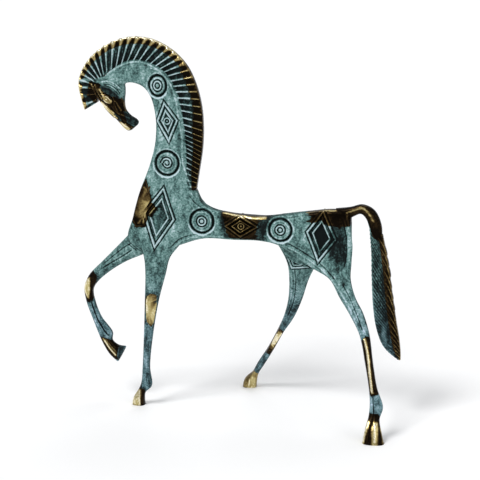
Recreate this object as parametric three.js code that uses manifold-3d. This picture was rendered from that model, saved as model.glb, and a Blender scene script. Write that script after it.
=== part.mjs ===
// A small cast bronze horse in the geometric manner: a flat plank of a body and neck, a ribbed
// crest, four thin legs that splay apart, a grooved tail, and rings and lozenges raised on its
// sides. It stands on three hooves and lifts its off foreleg.
// Millimetres. The horse faces -X, its near side faces -Y, and its hooves stand on Z = 0.

import * as THREE from 'three';
import { mergeVertices } from 'three/addons/utils/BufferGeometryUtils.js';
import Module from 'manifold-3d';

const wasm = await Module();
wasm.setup();

// Driving dimensions
const NECK_THICK = 7.4;
const TRUNK_THICK = 9.4;
const THIGH_THICK = 5.6;
const NEAR_THIGH_Y = -2.3;
const OFF_THIGH_Y = 2.3;
const NEAR_HIND_HOOF_Y = -38;
const OFF_HIND_HOOF_Y = 37.5;
const FORE_HOOF_Y = -1;
const BELOW_GROUND = -1.5;

// Crest and tail: how many ribs, how thick, and how deep the grooves between them are
const CREST_RIBS = 43;
const CREST_BASE_THICK = 6.0;
const CREST_RIM_THICK = 3.4;
const CREST_GROOVE_DEPTH = 0.8;
const CREST_NOTCH = 0.9;
const TAIL_LOCKS = 19;
const TAIL_THICK = 5.2;
const TAIL_TIP_SHARE = 0.55;
const TAIL_GROOVE_DEPTH = 0.7;

// Raised lines on the sides: a peaked ridge, with its foot sunk below the surface
const RIDGE_FOOT = 2.6;
const RIDGE_HEIGHT = 0.6;
const RIDGE_SUNK = 0.8;
const INNER_RING_RADIUS = 2.6;
const INNER_LOZENGE_SHARE = 0.52;
const BOSS_RADIUS = 1.0;

const EYE_RADIUS = 1.1;
const NOSTRIL_RADIUS = 0.8;

const PATINA = new THREE.MeshStandardMaterial({
  color: '#4f7c76',
  roughness: 0.55,
  metalness: 0.7,
});

// A closed mesh through rings of points that all hold the same number of points.
function skin(rings) {
  const sides = rings[0].length;
  const positions = rings.flat().flatMap((point) => point.toArray());
  const faces = [];
  for (let i = 0; i + 1 < rings.length; i += 1) {
    for (let k = 0; k < sides; k += 1) {
      const here = i * sides + k;
      const next = i * sides + ((k + 1) % sides);
      faces.push(here, next, next + sides, here, next + sides, here + sides);
    }
  }
  const last = (rings.length - 1) * sides;
  for (const [first, flip] of [[0, true], [last, false]]) {
    for (let k = 1; k + 1 < sides; k += 1) {
      const [b, c] = flip ? [first + k + 1, first + k] : [first + k, first + k + 1];
      faces.push(first, b, c);
    }
  }
  const geometry = new THREE.BufferGeometry();
  geometry.setAttribute('position', new THREE.Float32BufferAttribute(positions, 3));
  geometry.setIndex(faces);
  return facingOut(geometry);
}

// The same mesh with its faces turned outwards.
function facingOut(geometry) {
  const position = geometry.getAttribute('position');
  const index = geometry.getIndex().array;
  const [a, b, c] = [new THREE.Vector3(), new THREE.Vector3(), new THREE.Vector3()];
  let volume = 0;
  for (let i = 0; i < index.length; i += 3) {
    a.fromBufferAttribute(position, index[i]);
    b.fromBufferAttribute(position, index[i + 1]);
    c.fromBufferAttribute(position, index[i + 2]);
    volume += a.dot(b.cross(c));
  }
  if (volume < 0) {
    geometry.setIndex(Array.from(index).reverse());
  }
  return geometry;
}

// A rounded-plank section as wide as `width` and as thick as `thick`: flat faces with bevelled
// edges. `along` is its width direction and `across` its thickness.
function section(middle, along, across, width, thick, sides, squareness) {
  const bend = (value) => Math.sign(value) * Math.abs(value) ** (2 / squareness);
  const fullReach = bend(Math.cos(Math.PI / sides));
  return Array.from({ length: sides }, (_, k) => {
    const angle = (2 * Math.PI * (k + 0.5)) / sides;
    return middle.clone()
      .addScaledVector(along, (bend(Math.cos(angle)) / fullReach) * (width / 2))
      .addScaledVector(across, (bend(Math.sin(angle)) / fullReach) * (thick / 2));
  });
}

// A plank through stations, each [front x, front z, rear x, rear z, middle y, thickness].
// Its two edges are smooth curves, and each section stands square to the way the plank runs.
function plank(stations, { steps = 2, sides = 8, squareness = 2.6 } = {}) {
  const curve = (pick) => new THREE.CatmullRomCurve3(stations.map(pick), false, 'centripetal');
  const front = curve(([x, z, , , y]) => new THREE.Vector3(x, y, z));
  const rear = curve(([, , x, z, y]) => new THREE.Vector3(x, y, z));
  const middle = curve(([fx, fz, rx, rz, y]) => new THREE.Vector3((fx + rx) / 2, y, (fz + rz) / 2));
  const thick = curve(([, , , , , t]) => new THREE.Vector3(t, 0, 0));
  const count = (stations.length - 1) * steps;
  const rings = [];
  for (let i = 0; i <= count; i += 1) {
    const u = i / count;
    const [a, b] = [front.getPoint(u), rear.getPoint(u)];
    const along = b.clone().sub(a).normalize();
    const across = along.clone().cross(middle.getTangent(u)).normalize();
    const centre = a.clone().add(b).multiplyScalar(0.5);
    rings.push(section(centre, along, across, a.distanceTo(b), thick.getPoint(u).x, sides, squareness));
  }
  return skin(rings);
}

// Neck, shoulder, barrel and haunch in one plank. The edges run along the throat, chest and
// belly on one side, and along the foot of the crest and the back on the other.
function body() {
  const neck = NECK_THICK;
  const trunk = TRUNK_THICK;
  return plank([
    [-61.0, 162.5, -71.0, 164.5, 0, neck],
    [-58.6, 165.6, -66.0, 171.3, 0, neck],
    [-54.8, 166.8, -54.3, 178.2, 0, neck],
    [-48.6, 165.0, -41.5, 176.0, 0, neck],
    [-44.7, 160.2, -32.2, 166.2, 0, neck],
    [-42.2, 150.0, -27.9, 151.0, 0, neck],
    [-42.5, 137.5, -26.5, 137.0, 0, neck],
    [-45.6, 125.5, -25.4, 124.0, 0, neck + 0.4],
    [-51.2, 111.0, -21.9, 114.2, 0, neck + 1.0],
    [-54.6, 98.5, -18.0, 106.8, 0, trunk],
    [-57.0, 87.5, -11.5, 103.8, 0, trunk],
    [-44.0, 79.5, -6.5, 102.9, 0, trunk],
    [-30.5, 85.4, -1.5, 102.2, 0, trunk],
    [-18.0, 89.3, 2.0, 102.0, 0, trunk - 0.6],
    [-3.0, 89.2, 6.5, 101.8, 0, trunk - 0.8],
    [10.5, 89.2, 14.5, 101.7, 0, trunk - 0.6],
    [19.5, 87.4, 24.5, 103.2, 0, trunk],
    [29.5, 81.6, 35.0, 104.8, 0, trunk],
    [42.0, 75.6, 46.0, 106.2, 0, trunk],
    [52.0, 79.0, 54.0, 105.6, 0, trunk - 1],
    [55.8, 86.0, 55.8, 103.0, 0, trunk - 4],
  ], { squareness: 5 });
}

function head() {
  return plank([
    [-74.0, 168.5, -62.0, 170.5, 0, 6.5],
    [-75.4, 165.2, -58.0, 166.0, 0, 8.4],
    [-73.2, 161.6, -57.6, 162.0, 0, 9.2],
    [-70.6, 157.6, -58.0, 157.6, 0, 8.6],
    [-66.6, 152.4, -57.4, 153.2, 0, 7.2],
    [-61.9, 147.6, -54.9, 150.2, 0, 6.2],
    [-58.4, 143.8, -52.2, 148.6, 0, 6.0],
    [-56.4, 142.5, -51.1, 147.2, 0, 5.0],
    [-54.7, 142.9, -51.4, 145.8, 0, 2.8],
  ], { squareness: 2.4 });
}

function nearForeleg() {
  return plank([
    [-52.5, 95.0, -26.0, 97.0, -0.6, 7.0],
    [-51.2, 86.0, -29.5, 87.0, -0.8, 7.0],
    [-49.0, 78.0, -35.6, 78.6, -1.2, 6.8],
    [-48.4, 70.0, -37.9, 70.0, -1.4, 6.4],
    [-48.8, 56.0, -41.6, 56.0, -1.6, 5.8],
    [-49.5, 38.0, -44.8, 38.0, -1.6, 4.8],
    [-50.5, 20.0, -46.7, 20.3, -1.4, 4.4],
    [-51.2, 12.5, -45.9, 10.2, -1.2, 4.8],
    [-52.6, 8.6, -49.2, 6.6, FORE_HOOF_Y, 4.0],
    [-55.6, 3.6, -49.7, 3.4, FORE_HOOF_Y, 5.6],
    [-56.3, BELOW_GROUND, -49.3, BELOW_GROUND, FORE_HOOF_Y, 6.4],
  ]);
}

function raisedForeleg() {
  return plank([
    [-52.0, 97.0, -40.0, 84.0, 1.0, 6.4],
    [-56.8, 90.1, -50.5, 78.9, 1.6, 6.4],
    [-62.0, 84.4, -58.4, 75.2, 3.0, 6.0],
    [-72.6, 73.6, -68.5, 68.6, 6.0, 5.6],
    [-80.6, 65.2, -76.2, 61.6, 8.2, 5.2],
    [-83.4, 58.0, -78.6, 57.2, 9.0, 5.0],
    [-82.4, 50.6, -77.7, 50.2, 9.4, 4.6],
    [-79.5, 42.0, -74.7, 42.6, 9.6, 4.2],
    [-76.2, 33.2, -68.9, 34.6, 9.6, 4.6],
    [-74.0, 28.2, -69.0, 30.6, 9.6, 3.8],
    [-70.8, 23.0, -66.0, 28.0, 9.6, 4.6],
    [-66.3, 18.8, -61.8, 27.4, 9.6, 5.6],
  ]);
}

function nearHindLeg() {
  const top = NEAR_THIGH_Y;
  return plank([
    [21.0, 93.0, 53.0, 102.0, top + 0.4, THIGH_THICK - 0.8],
    [26.0, 84.2, 56.6, 91.0, top, THIGH_THICK],
    [36.8, 77.0, 56.6, 81.0, top - 1.8, THIGH_THICK],
    [46.0, 72.4, 56.6, 73.0, top - 4.8, THIGH_THICK],
    [51.6, 64.0, 59.4, 64.6, top - 8.2, 5.6],
    [57.0, 56.6, 63.6, 57.8, top - 11.4, 5.4],
    [62.4, 47.4, 67.2, 48.2, top - 15.0, 5.0],
    [65.8, 35.0, 69.8, 35.2, top - 20.4, 4.6],
    [68.2, 24.5, 72.4, 24.2, top - 25.0, 4.4],
    [69.2, 18.0, 75.7, 15.6, top - 28.4, 4.6],
    [69.0, 12.0, 74.4, 10.4, top - 31.0, 4.4],
    [67.4, 5.2, 75.8, 4.6, NEAR_HIND_HOOF_Y + 1.4, 6.0],
    [66.4, BELOW_GROUND, 77.6, BELOW_GROUND, NEAR_HIND_HOOF_Y - 0.6, 7.4],
  ]);
}

function offHindLeg() {
  const top = OFF_THIGH_Y;
  return plank([
    [13.6, 93.5, 46.0, 94.0, top - 0.4, THIGH_THICK - 0.8],
    [20.0, 85.0, 40.5, 82.0, top, THIGH_THICK],
    [23.4, 77.0, 36.4, 73.6, top + 2.4, THIGH_THICK],
    [23.8, 67.5, 33.6, 67.5, top + 6.0, THIGH_THICK],
    [22.6, 55.6, 29.8, 56.0, top + 11.0, 5.4],
    [19.6, 45.0, 25.0, 45.2, top + 16.0, 5.0],
    [15.4, 35.4, 19.2, 36.2, top + 20.4, 4.6],
    [9.8, 24.6, 13.4, 25.2, top + 25.2, 4.4],
    [3.6, 14.0, 7.6, 15.4, top + 30.0, 4.4],
    [0.6, 8.8, 4.2, 9.2, top + 32.6, 4.2],
    [-4.2, 3.6, 3.0, 5.0, OFF_HIND_HOOF_Y - 0.8, 6.0],
    [-5.2, BELOW_GROUND, 2.2, BELOW_GROUND, OFF_HIND_HOOF_Y + 0.6, 7.2],
  ]);
}

// The smooth stalk of the tail, which arches out of the croup.
function tailStalk() {
  return plank([
    [48.0, 101.0, 48.0, 106.8, 0, 5.6],
    [55.0, 102.2, 55.0, 107.7, 0, 5.4],
    [60.4, 104.4, 61.2, 109.2, 0, 5.0],
    [62.9, 102.2, 67.0, 106.6, 0, 5.0],
    [64.6, 97.6, 70.6, 99.6, 0, 4.6],
    [66.8, 90.0, 71.2, 91.6, 0, 2.4],
  ]);
}

// The wave along a row of ribs: 1 on a ridge and 0 in a groove.
const RIB_WAVE = [0, 1, 1];

// How deep a groove is at a share of the way out: shallow at the root, full past the middle.
const grooveShare = (share) => Math.sin(Math.PI * (0.15 + 0.6 * share));

// A blade between an inner and an outer curve, with ribs across it. `halfThick` gives the half
// thickness on a ridge, at a share of the way out and a share of the way along. A groove is
// `groove` deep on each face, and cuts the rim back by `notch`.
function ribbedBlade({ inner, outer, ribs, halfThick, groove, notch }) {
  const shares = [0, 0.5, 1];
  const count = ribs * RIB_WAVE.length;
  const rings = [];
  for (let i = 0; i <= count; i += 1) {
    const u = i / count;
    const sunk = 1 - RIB_WAVE[i % RIB_WAVE.length];
    const root = inner.getPoint(u);
    const reach = outer.getPoint(u).sub(root);
    reach.setLength(reach.length() - sunk * notch);
    const places = shares.map((share) => ({
      point: root.clone().addScaledVector(reach, share),
      half: halfThick(share, u) - sunk * groove * grooveShare(share),
    }));
    const near = places.map(({ point, half }) => point.clone().setY(-half));
    const off = places.map(({ point, half }) => point.clone().setY(half));
    rings.push([...near, ...off.reverse()]);
  }
  return skin(rings);
}

function profileCurve(points) {
  const list = points.map(([x, z]) => new THREE.Vector3(x, 0, z));
  return new THREE.CatmullRomCurve3(list, false, 'centripetal');
}

// The crest, from the forelock that hangs before the forehead to the withers.
function crest() {
  const inner = profileCurve([
    [-71.5, 156.8], [-70.8, 163.3], [-66.0, 168.8], [-57.5, 174.4], [-46.5, 175.0], [-36.5, 168.5],
    [-31.3, 156.5], [-29.0, 146.5], [-28.4, 136.0], [-28.2, 126.5], [-24.0, 116.5],
  ]);
  const outer = profileCurve([
    [-78.8, 152.2], [-81.6, 167.5], [-74.2, 180.3], [-58.6, 189.1], [-41.4, 188.1], [-26.4, 176.6],
    [-19.6, 160.4], [-18.0, 146.0], [-18.3, 135.0], [-19.8, 124.8], [-21.6, 114.0],
  ]);
  const halfThick = (share) => THREE.MathUtils.lerp(CREST_BASE_THICK, CREST_RIM_THICK, share) / 2;
  const [groove, notch] = [CREST_GROOVE_DEPTH, CREST_NOTCH];
  return ribbedBlade({ inner, outer, ribs: CREST_RIBS, halfThick, groove, notch });
}

// The hanging tail. Its locks slant, because the outer curve runs ahead of the inner one.
function tail() {
  const inner = profileCurve([
    [64.8, 98.0], [65.9, 86.0], [66.4, 72.0], [67.3, 58.0], [69.2, 46.6], [72.9, 37.5], [80.6, 30.6],
  ]);
  const outer = profileCurve([
    [71.6, 94.4], [74.6, 80.0], [76.9, 65.0], [79.3, 50.5], [81.0, 41.0], [81.8, 34.5], [81.9, 30.5],
  ]);
  const halfThick = (share, u) => {
    const bulge = Math.sin(Math.PI * THREE.MathUtils.lerp(0.28, 0.72, share));
    return (TAIL_THICK / 2) * bulge * THREE.MathUtils.lerp(1, TAIL_TIP_SHARE, u ** 4);
  };
  const [groove, notch] = [TAIL_GROOVE_DEPTH, TAIL_GROOVE_DEPTH];
  return ribbedBlade({ inner, outer, ribs: TAIL_LOCKS, halfThick, groove, notch });
}

// A solid for the boolean library, from a mesh whose shared corners are merged.
function solid(geometry) {
  const bare = geometry.clone();
  bare.deleteAttribute('normal');
  bare.deleteAttribute('uv');
  const merged = mergeVertices(bare, 1e-4);
  return new wasm.Manifold(new wasm.Mesh({
    numProp: 3,
    vertProperties: new Float32Array(merged.getAttribute('position').array),
    triVerts: new Uint32Array(merged.getIndex().array),
  }));
}

function geometryOf(manifold) {
  const mesh = manifold.getMesh();
  const geometry = new THREE.BufferGeometry();
  geometry.setAttribute('position', new THREE.BufferAttribute(mesh.vertProperties, 3));
  geometry.setIndex(new THREE.BufferAttribute(mesh.triVerts, 1));
  return geometry;
}

// The height along Y of the surface at a place on one side of the body. `side` is -1 on the near
// side and +1 on the off side.
function heightOn(surface, side, place) {
  const outside = new THREE.Vector3(place.x, side * 100, place.y);
  const inwards = new THREE.Vector3(0, -side, 0);
  const [hit] = new THREE.Raycaster(outside, inwards).intersectObject(surface);
  return hit ? hit.point.y : 0;
}

const middleOf = (points) => points.reduce((sum, point) => sum.add(point), new THREE.Vector2())
  .divideScalar(points.length);

// A raised line along a closed path on one side of the body, peaked like a roof.
function raisedLine(path, side, surface) {
  const middle = middleOf(path);
  const profile = [[-0.5, -RIDGE_SUNK], [0, RIDGE_HEIGHT], [0.5, -RIDGE_SUNK]];
  const rings = path.map((point) => {
    const height = heightOn(surface, side, point);
    const outwards = point.clone().sub(middle).normalize();
    return profile.map(([share, lift]) => {
      const place = point.clone().addScaledVector(outwards, share * RIDGE_FOOT);
      return new THREE.Vector3(place.x, height + side * lift, place.y);
    });
  });
  return closedLoop(rings);
}

// A closed mesh through rings that run round and meet their start.
function closedLoop(rings) {
  const sides = rings[0].length;
  const positions = rings.flat().flatMap((point) => point.toArray());
  const faces = [];
  for (let i = 0; i < rings.length; i += 1) {
    for (let k = 0; k < sides; k += 1) {
      const here = i * sides + k;
      const beside = i * sides + ((k + 1) % sides);
      const after = ((i + 1) % rings.length) * sides + k;
      const across = ((i + 1) % rings.length) * sides + ((k + 1) % sides);
      faces.push(here, beside, across, here, across, after);
    }
  }
  const geometry = new THREE.BufferGeometry();
  geometry.setAttribute('position', new THREE.Float32BufferAttribute(positions, 3));
  geometry.setIndex(faces);
  return facingOut(geometry);
}

function circlePath(centre, radiusX, radiusZ, count) {
  return Array.from({ length: count }, (_, k) => {
    const angle = (2 * Math.PI * k) / count;
    const offset = new THREE.Vector2(radiusX * Math.cos(angle), radiusZ * Math.sin(angle));
    return centre.clone().add(offset);
  });
}

// A four-cornered path. The middle of each side has a point too, so that it follows the surface.
function lozengePath(corners) {
  return corners.flatMap((corner, k) => {
    const next = corners[(k + 1) % corners.length];
    return [corner, corner.clone().lerp(next, 0.5)];
  });
}

// Rings raised on the sides: centre x, centre z, radius along X, radius along Z.
const RINGS = [
  [-40.6, 165.8, 4.5, 5.3],
  [-36.2, 127.3, 6.0, 6.2],
  [-18.6, 98.6, 6.0, 6.1],
  [20.9, 95.7, 5.8, 5.9],
];

// Lozenges raised on the sides: top, rear, bottom and front corner, each x then z. A heart is
// the place of a small boss inside.
const LOZENGES = [
  { corners: [-37.2, 157.0, -30.6, 148.0, -34.2, 139.2, -39.6, 148.4], heart: [-35.2, 148.0] },
  { corners: [-37.2, 113.0, -32.8, 99.0, -42.4, 85.6, -48.0, 101.2] },
  { corners: [1.6, 101.0, 9.6, 96.4, 1.6, 91.6, -6.4, 96.4], heart: [1.6, 96.4] },
  { corners: [42.4, 105.0, 48.8, 91.6, 39.8, 81.2, 34.4, 94.6] },
];

// The small lozenge on the off thigh, which shows below the near thigh.
const OFF_THIGH_LOZENGE = [26.6, 81.4, 33.0, 76.4, 29.4, 75.0, 25.0, 78.0];

const plan = (x, z) => new THREE.Vector2(x, z);
const cornerPoints = ([a, b, c, d, e, f, g, h]) => [plan(a, b), plan(c, d), plan(e, f), plan(g, h)];

// A low round boss, set on the surface.
function boss(centre, side, surface) {
  const knob = new THREE.SphereGeometry(BOSS_RADIUS, 6, 3);
  knob.scale(1, RIDGE_HEIGHT / BOSS_RADIUS, 1);
  knob.translate(centre.x, heightOn(surface, side, centre), centre.y);
  return knob;
}

// The near side carries every line. The off side is plainer, with the outer lines only.
function relief(surface, side) {
  const isNear = side < 0;
  const line = (path) => raisedLine(path, side, surface);
  const pieces = [];
  for (const [x, z, radiusX, radiusZ] of RINGS) {
    const centre = plan(x, z);
    pieces.push(line(circlePath(centre, radiusX, radiusZ, 14)), boss(centre, side, surface));
    if (isNear) {
      pieces.push(line(circlePath(centre, INNER_RING_RADIUS, INNER_RING_RADIUS, 8)));
    }
  }
  for (const { corners, heart } of LOZENGES) {
    const outer = cornerPoints(corners);
    const middle = middleOf(outer);
    pieces.push(line(lozengePath(outer)));
    if (isNear) {
      const inner = outer.map((corner) => middle.clone().lerp(corner, INNER_LOZENGE_SHARE));
      pieces.push(line(lozengePath(inner)));
    }
    if (isNear && heart) {
      pieces.push(boss(plan(...heart), side, surface));
    }
  }
  if (isNear) {
    pieces.push(line(lozengePath(cornerPoints(OFF_THIGH_LOZENGE))));
  }
  return pieces;
}

// Eyes and nostrils, as small knobs on both sides of the head.
function faceKnobs() {
  return [-1, 1].flatMap((side) => {
    const eye = new THREE.SphereGeometry(EYE_RADIUS, 8, 5);
    eye.scale(1.4, 0.8, 1);
    eye.rotateY(Math.PI / 5);
    eye.translate(-67.6, side * 4.1, 160.0);
    const nostril = new THREE.SphereGeometry(NOSTRIL_RADIUS, 6, 4);
    nostril.translate(-57.6, side * 2.6, 145.4);
    return [eye, nostril];
  });
}

// The ears, two small leaves that lie back on the poll.
function ears() {
  return [-1, 1].map((side) => plank([
    [-70.4, 165.2, -69.6, 166.2, side * 3.6, 1.0],
    [-67.0, 164.4, -66.4, 168.0, side * 3.9, 1.8],
    [-62.6, 163.6, -62.0, 166.8, side * 3.9, 1.8],
    [-59.6, 162.2, -58.8, 163.0, side * 3.6, 1.0],
  ], { sides: 6, squareness: 2 }));
}

// The whole casting: everything above is joined, and the hooves are cut flat at the ground. Its
// box is then centred on the Z axis.
function horse() {
  const forms = [
    body(), head(), nearForeleg(), raisedForeleg(), nearHindLeg(), offHindLeg(),
    tailStalk(), tail(), crest(), ...ears(), ...faceKnobs(),
  ];
  const plain = forms.map(solid).reduce((whole, form) => whole.add(form));
  const surface = new THREE.Mesh(geometryOf(plain), PATINA);
  const lines = [-1, 1].flatMap((side) => relief(surface, side));
  const carved = lines.map(solid).reduce((whole, line) => whole.add(line), plain);
  const ground = new THREE.BoxGeometry(400, 200, 40).translate(0, 0, -20);
  const geometry = geometryOf(carved.subtract(solid(ground)));
  geometry.computeBoundingBox();
  const middle = geometry.boundingBox.getCenter(new THREE.Vector3());
  geometry.translate(-middle.x, -middle.y, 0);
  const mesh = new THREE.Mesh(geometry, PATINA);
  mesh.name = 'horse';
  return mesh;
}

const group = new THREE.Group();
group.add(horse());
export default group;
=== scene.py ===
"""A small cast bronze horse in the geometric manner, with a sea-green patina and rubbed edges.

The horse is one casting. Its plain forms are lofted, its crest ribs and tail locks are laid by
Geometry Nodes, and all of it is fused into one skin. Rings, lozenges and engraved lines are then
carved into that skin. Sizes are millimetres in the casting's own frame, until the last step turns
them into metres.
"""

from __future__ import annotations

import logging
import math
from collections.abc import Sequence
from dataclasses import dataclass, field
from enum import Enum

import bmesh
import bpy
import numpy as np
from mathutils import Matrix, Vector
from mathutils.kdtree import KDTree


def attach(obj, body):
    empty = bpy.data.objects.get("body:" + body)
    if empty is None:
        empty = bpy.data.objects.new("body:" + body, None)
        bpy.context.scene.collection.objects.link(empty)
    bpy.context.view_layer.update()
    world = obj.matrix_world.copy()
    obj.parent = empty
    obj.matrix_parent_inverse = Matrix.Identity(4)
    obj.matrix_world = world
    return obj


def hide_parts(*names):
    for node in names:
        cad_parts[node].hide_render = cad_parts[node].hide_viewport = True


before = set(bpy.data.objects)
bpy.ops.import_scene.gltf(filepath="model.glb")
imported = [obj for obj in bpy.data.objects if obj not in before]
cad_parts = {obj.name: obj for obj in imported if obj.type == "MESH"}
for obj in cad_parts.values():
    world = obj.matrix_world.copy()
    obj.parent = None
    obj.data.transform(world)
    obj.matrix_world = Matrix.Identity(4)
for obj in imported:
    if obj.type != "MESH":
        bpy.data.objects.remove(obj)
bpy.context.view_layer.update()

log = logging.getLogger("horse")

METRES = 0.001

# Moves the casting so that its footprint is centred, as the frame has it.
FOOTPRINT_SHIFT = np.array([0.768, 0.285, 0.0])

# How many steps an edge is given to Geometry Nodes in.
EDGE_STEPS = 4000

Array = np.ndarray
Corner = tuple[float, float]
Colour = tuple[float, float, float]


class Side(Enum):
    """Which side of the horse a carving is on."""

    NEAR = -1.0
    OFF = 1.0


# Numbers and curves


def smoothstep(low: float, high: float, value: Array) -> Array:
    """An easy step from 0 at low to 1 at high.

    Args:
        low: Where the step starts.
        high: Where the step ends; it may be below low.
        value: The numbers to step.

    Returns:
        The stepped numbers, from 0 to 1.
    """
    t = np.clip((value - low) / (high - low), 0.0, 1.0)
    return t * t * (3.0 - 2.0 * t)


def bump(distance: Array, width: float) -> Array:
    """A round hump, 1 at no distance and near 0 past twice the width."""
    return np.exp(-((distance / width) ** 2))


@dataclass(frozen=True)
class Curve:
    """A smooth open curve through points, with even pull at every point."""

    points: Array

    def at(self, share: Array) -> Array:
        """The places at shares of the way along, each span counting the same.

        Args:
            share: Shares from 0 to 1.

        Returns:
            One row for each share.
        """
        p = self.points
        spans = len(p) - 1
        place = np.clip(np.asarray(share, float), 0.0, 1.0) * spans
        span = np.minimum(place.astype(int), spans - 1)
        t = (place - span)[:, None]
        padded = np.vstack([2 * p[0] - p[1], p, 2 * p[-1] - p[-2]])
        a, b, c, d = (padded[span + k] for k in range(4))
        gap_ab, gap_bc, gap_cd = (self._gap(x, y) for x, y in ((a, b), (b, c), (c, d)))
        leave = (b - a) / gap_ab - (c - a) / (gap_ab + gap_bc) + (c - b) / gap_bc
        enter = (c - b) / gap_bc - (d - b) / (gap_bc + gap_cd) + (d - c) / gap_cd
        leave, enter = leave * gap_bc, enter * gap_bc
        bend = -3 * b + 3 * c - 2 * leave - enter
        twist = 2 * b - 2 * c + leave + enter
        return b + leave * t + bend * t**2 + twist * t**3

    @staticmethod
    def _gap(a: Array, b: Array) -> Array:
        """The square root of the distance between two rows of points, never nothing."""
        return np.maximum(np.linalg.norm(b - a, axis=1), 1e-4)[:, None] ** 0.5


def profile(*corners: Corner) -> Curve:
    """A curve in the horse's middle plane, through places given as x and z."""
    return Curve(np.array([[x, 0.0, z] for x, z in corners]))


# Meshes


@dataclass
class Form:
    """A closed mesh in millimetres."""

    points: Array
    faces: list[tuple[int, ...]]


def skin(rings: Array) -> Form:
    """A closed form through rings of points.

    Args:
        rings: An array of rings, points in a ring, and three places.

    Returns:
        The form, with both ends closed.
    """
    count, sides = rings.shape[:2]
    faces = [
        (i * sides + k, i * sides + (k + 1) % sides,
         (i + 1) * sides + (k + 1) % sides, (i + 1) * sides + k)
        for i in range(count - 1)
        for k in range(sides)
    ]
    last = (count - 1) * sides
    faces.append(tuple(range(sides - 1, -1, -1)))
    faces.append(tuple(range(last, last + sides)))
    return Form(rings.reshape(-1, 3), faces)


def joined(forms: Sequence[Form]) -> Form:
    """Several forms as one mesh of separate shells."""
    points, faces, start = [], [], 0
    for form in forms:
        points.append(form.points)
        faces += [tuple(start + k for k in face) for face in form.faces]
        start += len(form.points)
    return Form(np.vstack(points), faces)


def mesh_of(form: Form, name: str) -> bpy.types.Mesh:
    """A Blender mesh of a form."""
    mesh = bpy.data.meshes.new(name)
    mesh.from_pydata(form.points.tolist(), [], form.faces)
    mesh.update()
    return mesh


def form_of(mesh: bpy.types.Mesh) -> Form:
    """The form that a Blender mesh holds."""
    points = np.empty(len(mesh.vertices) * 3, np.float32)
    mesh.vertices.foreach_get("co", points)
    starts = np.empty(len(mesh.polygons), np.int32)
    totals = np.empty(len(mesh.polygons), np.int32)
    corners = np.empty(len(mesh.loops), np.int32)
    mesh.polygons.foreach_get("loop_start", starts)
    mesh.polygons.foreach_get("loop_total", totals)
    mesh.loops.foreach_get("vertex_index", corners)
    listed = corners.tolist()
    faces = [tuple(listed[s:s + n]) for s, n in zip(starts.tolist(), totals.tolist())]
    return Form(points.reshape(-1, 3).astype(float), faces)


def evaluated(obj: bpy.types.Object) -> bpy.types.Mesh:
    """The plain mesh that an object's modifiers make."""
    graph = bpy.context.evaluated_depsgraph_get()
    return bpy.data.meshes.new_from_object(obj.evaluated_get(graph))


def linked(name: str, data: bpy.types.ID | None) -> bpy.types.Object:
    """A new object in the scene."""
    obj = bpy.data.objects.new(name, data)
    bpy.context.scene.collection.objects.link(obj)
    return obj


def through_modifier(mesh: bpy.types.Mesh, kind: str, **settings: object) -> bpy.types.Mesh:
    """A mesh passed through one modifier.

    Args:
        mesh: The mesh to change, which is removed.
        kind: The modifier's type.
        settings: The modifier's own settings.

    Returns:
        The changed mesh.
    """
    obj = linked("working", mesh)
    modifier = obj.modifiers.new("step", kind)
    for name, value in settings.items():
        setattr(modifier, name, value)
    result = evaluated(obj)
    bpy.data.objects.remove(obj)
    bpy.data.meshes.remove(mesh)
    return result


def largest_shell(mesh: bpy.types.Mesh) -> bpy.types.Mesh:
    """Clears a mesh of every shell but its largest.

    Args:
        mesh: The mesh, which is changed.

    Returns:
        The same mesh.
    """
    edges = np.empty(len(mesh.edges) * 2, np.int32)
    mesh.edges.foreach_get("vertices", edges)
    first, second = edges.reshape(-1, 2).T
    shell = np.arange(len(mesh.vertices))
    while not np.array_equal(shell[first], shell[second]):
        a, b = shell[first], shell[second]
        np.minimum.at(shell, np.maximum(a, b), np.minimum(a, b))
        while not np.array_equal(shell, shell[shell]):
            shell = shell[shell]
    stray = np.flatnonzero(shell != np.bincount(shell).argmax())
    if len(stray):
        log.info("cleared %d points of stray shells", len(stray))
        work = bmesh.new()
        work.from_mesh(mesh)
        work.verts.ensure_lookup_table()
        bmesh.ops.delete(work, geom=[work.verts[k] for k in stray], context="VERTS")
        work.to_mesh(mesh)
        work.free()
    return mesh


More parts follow.
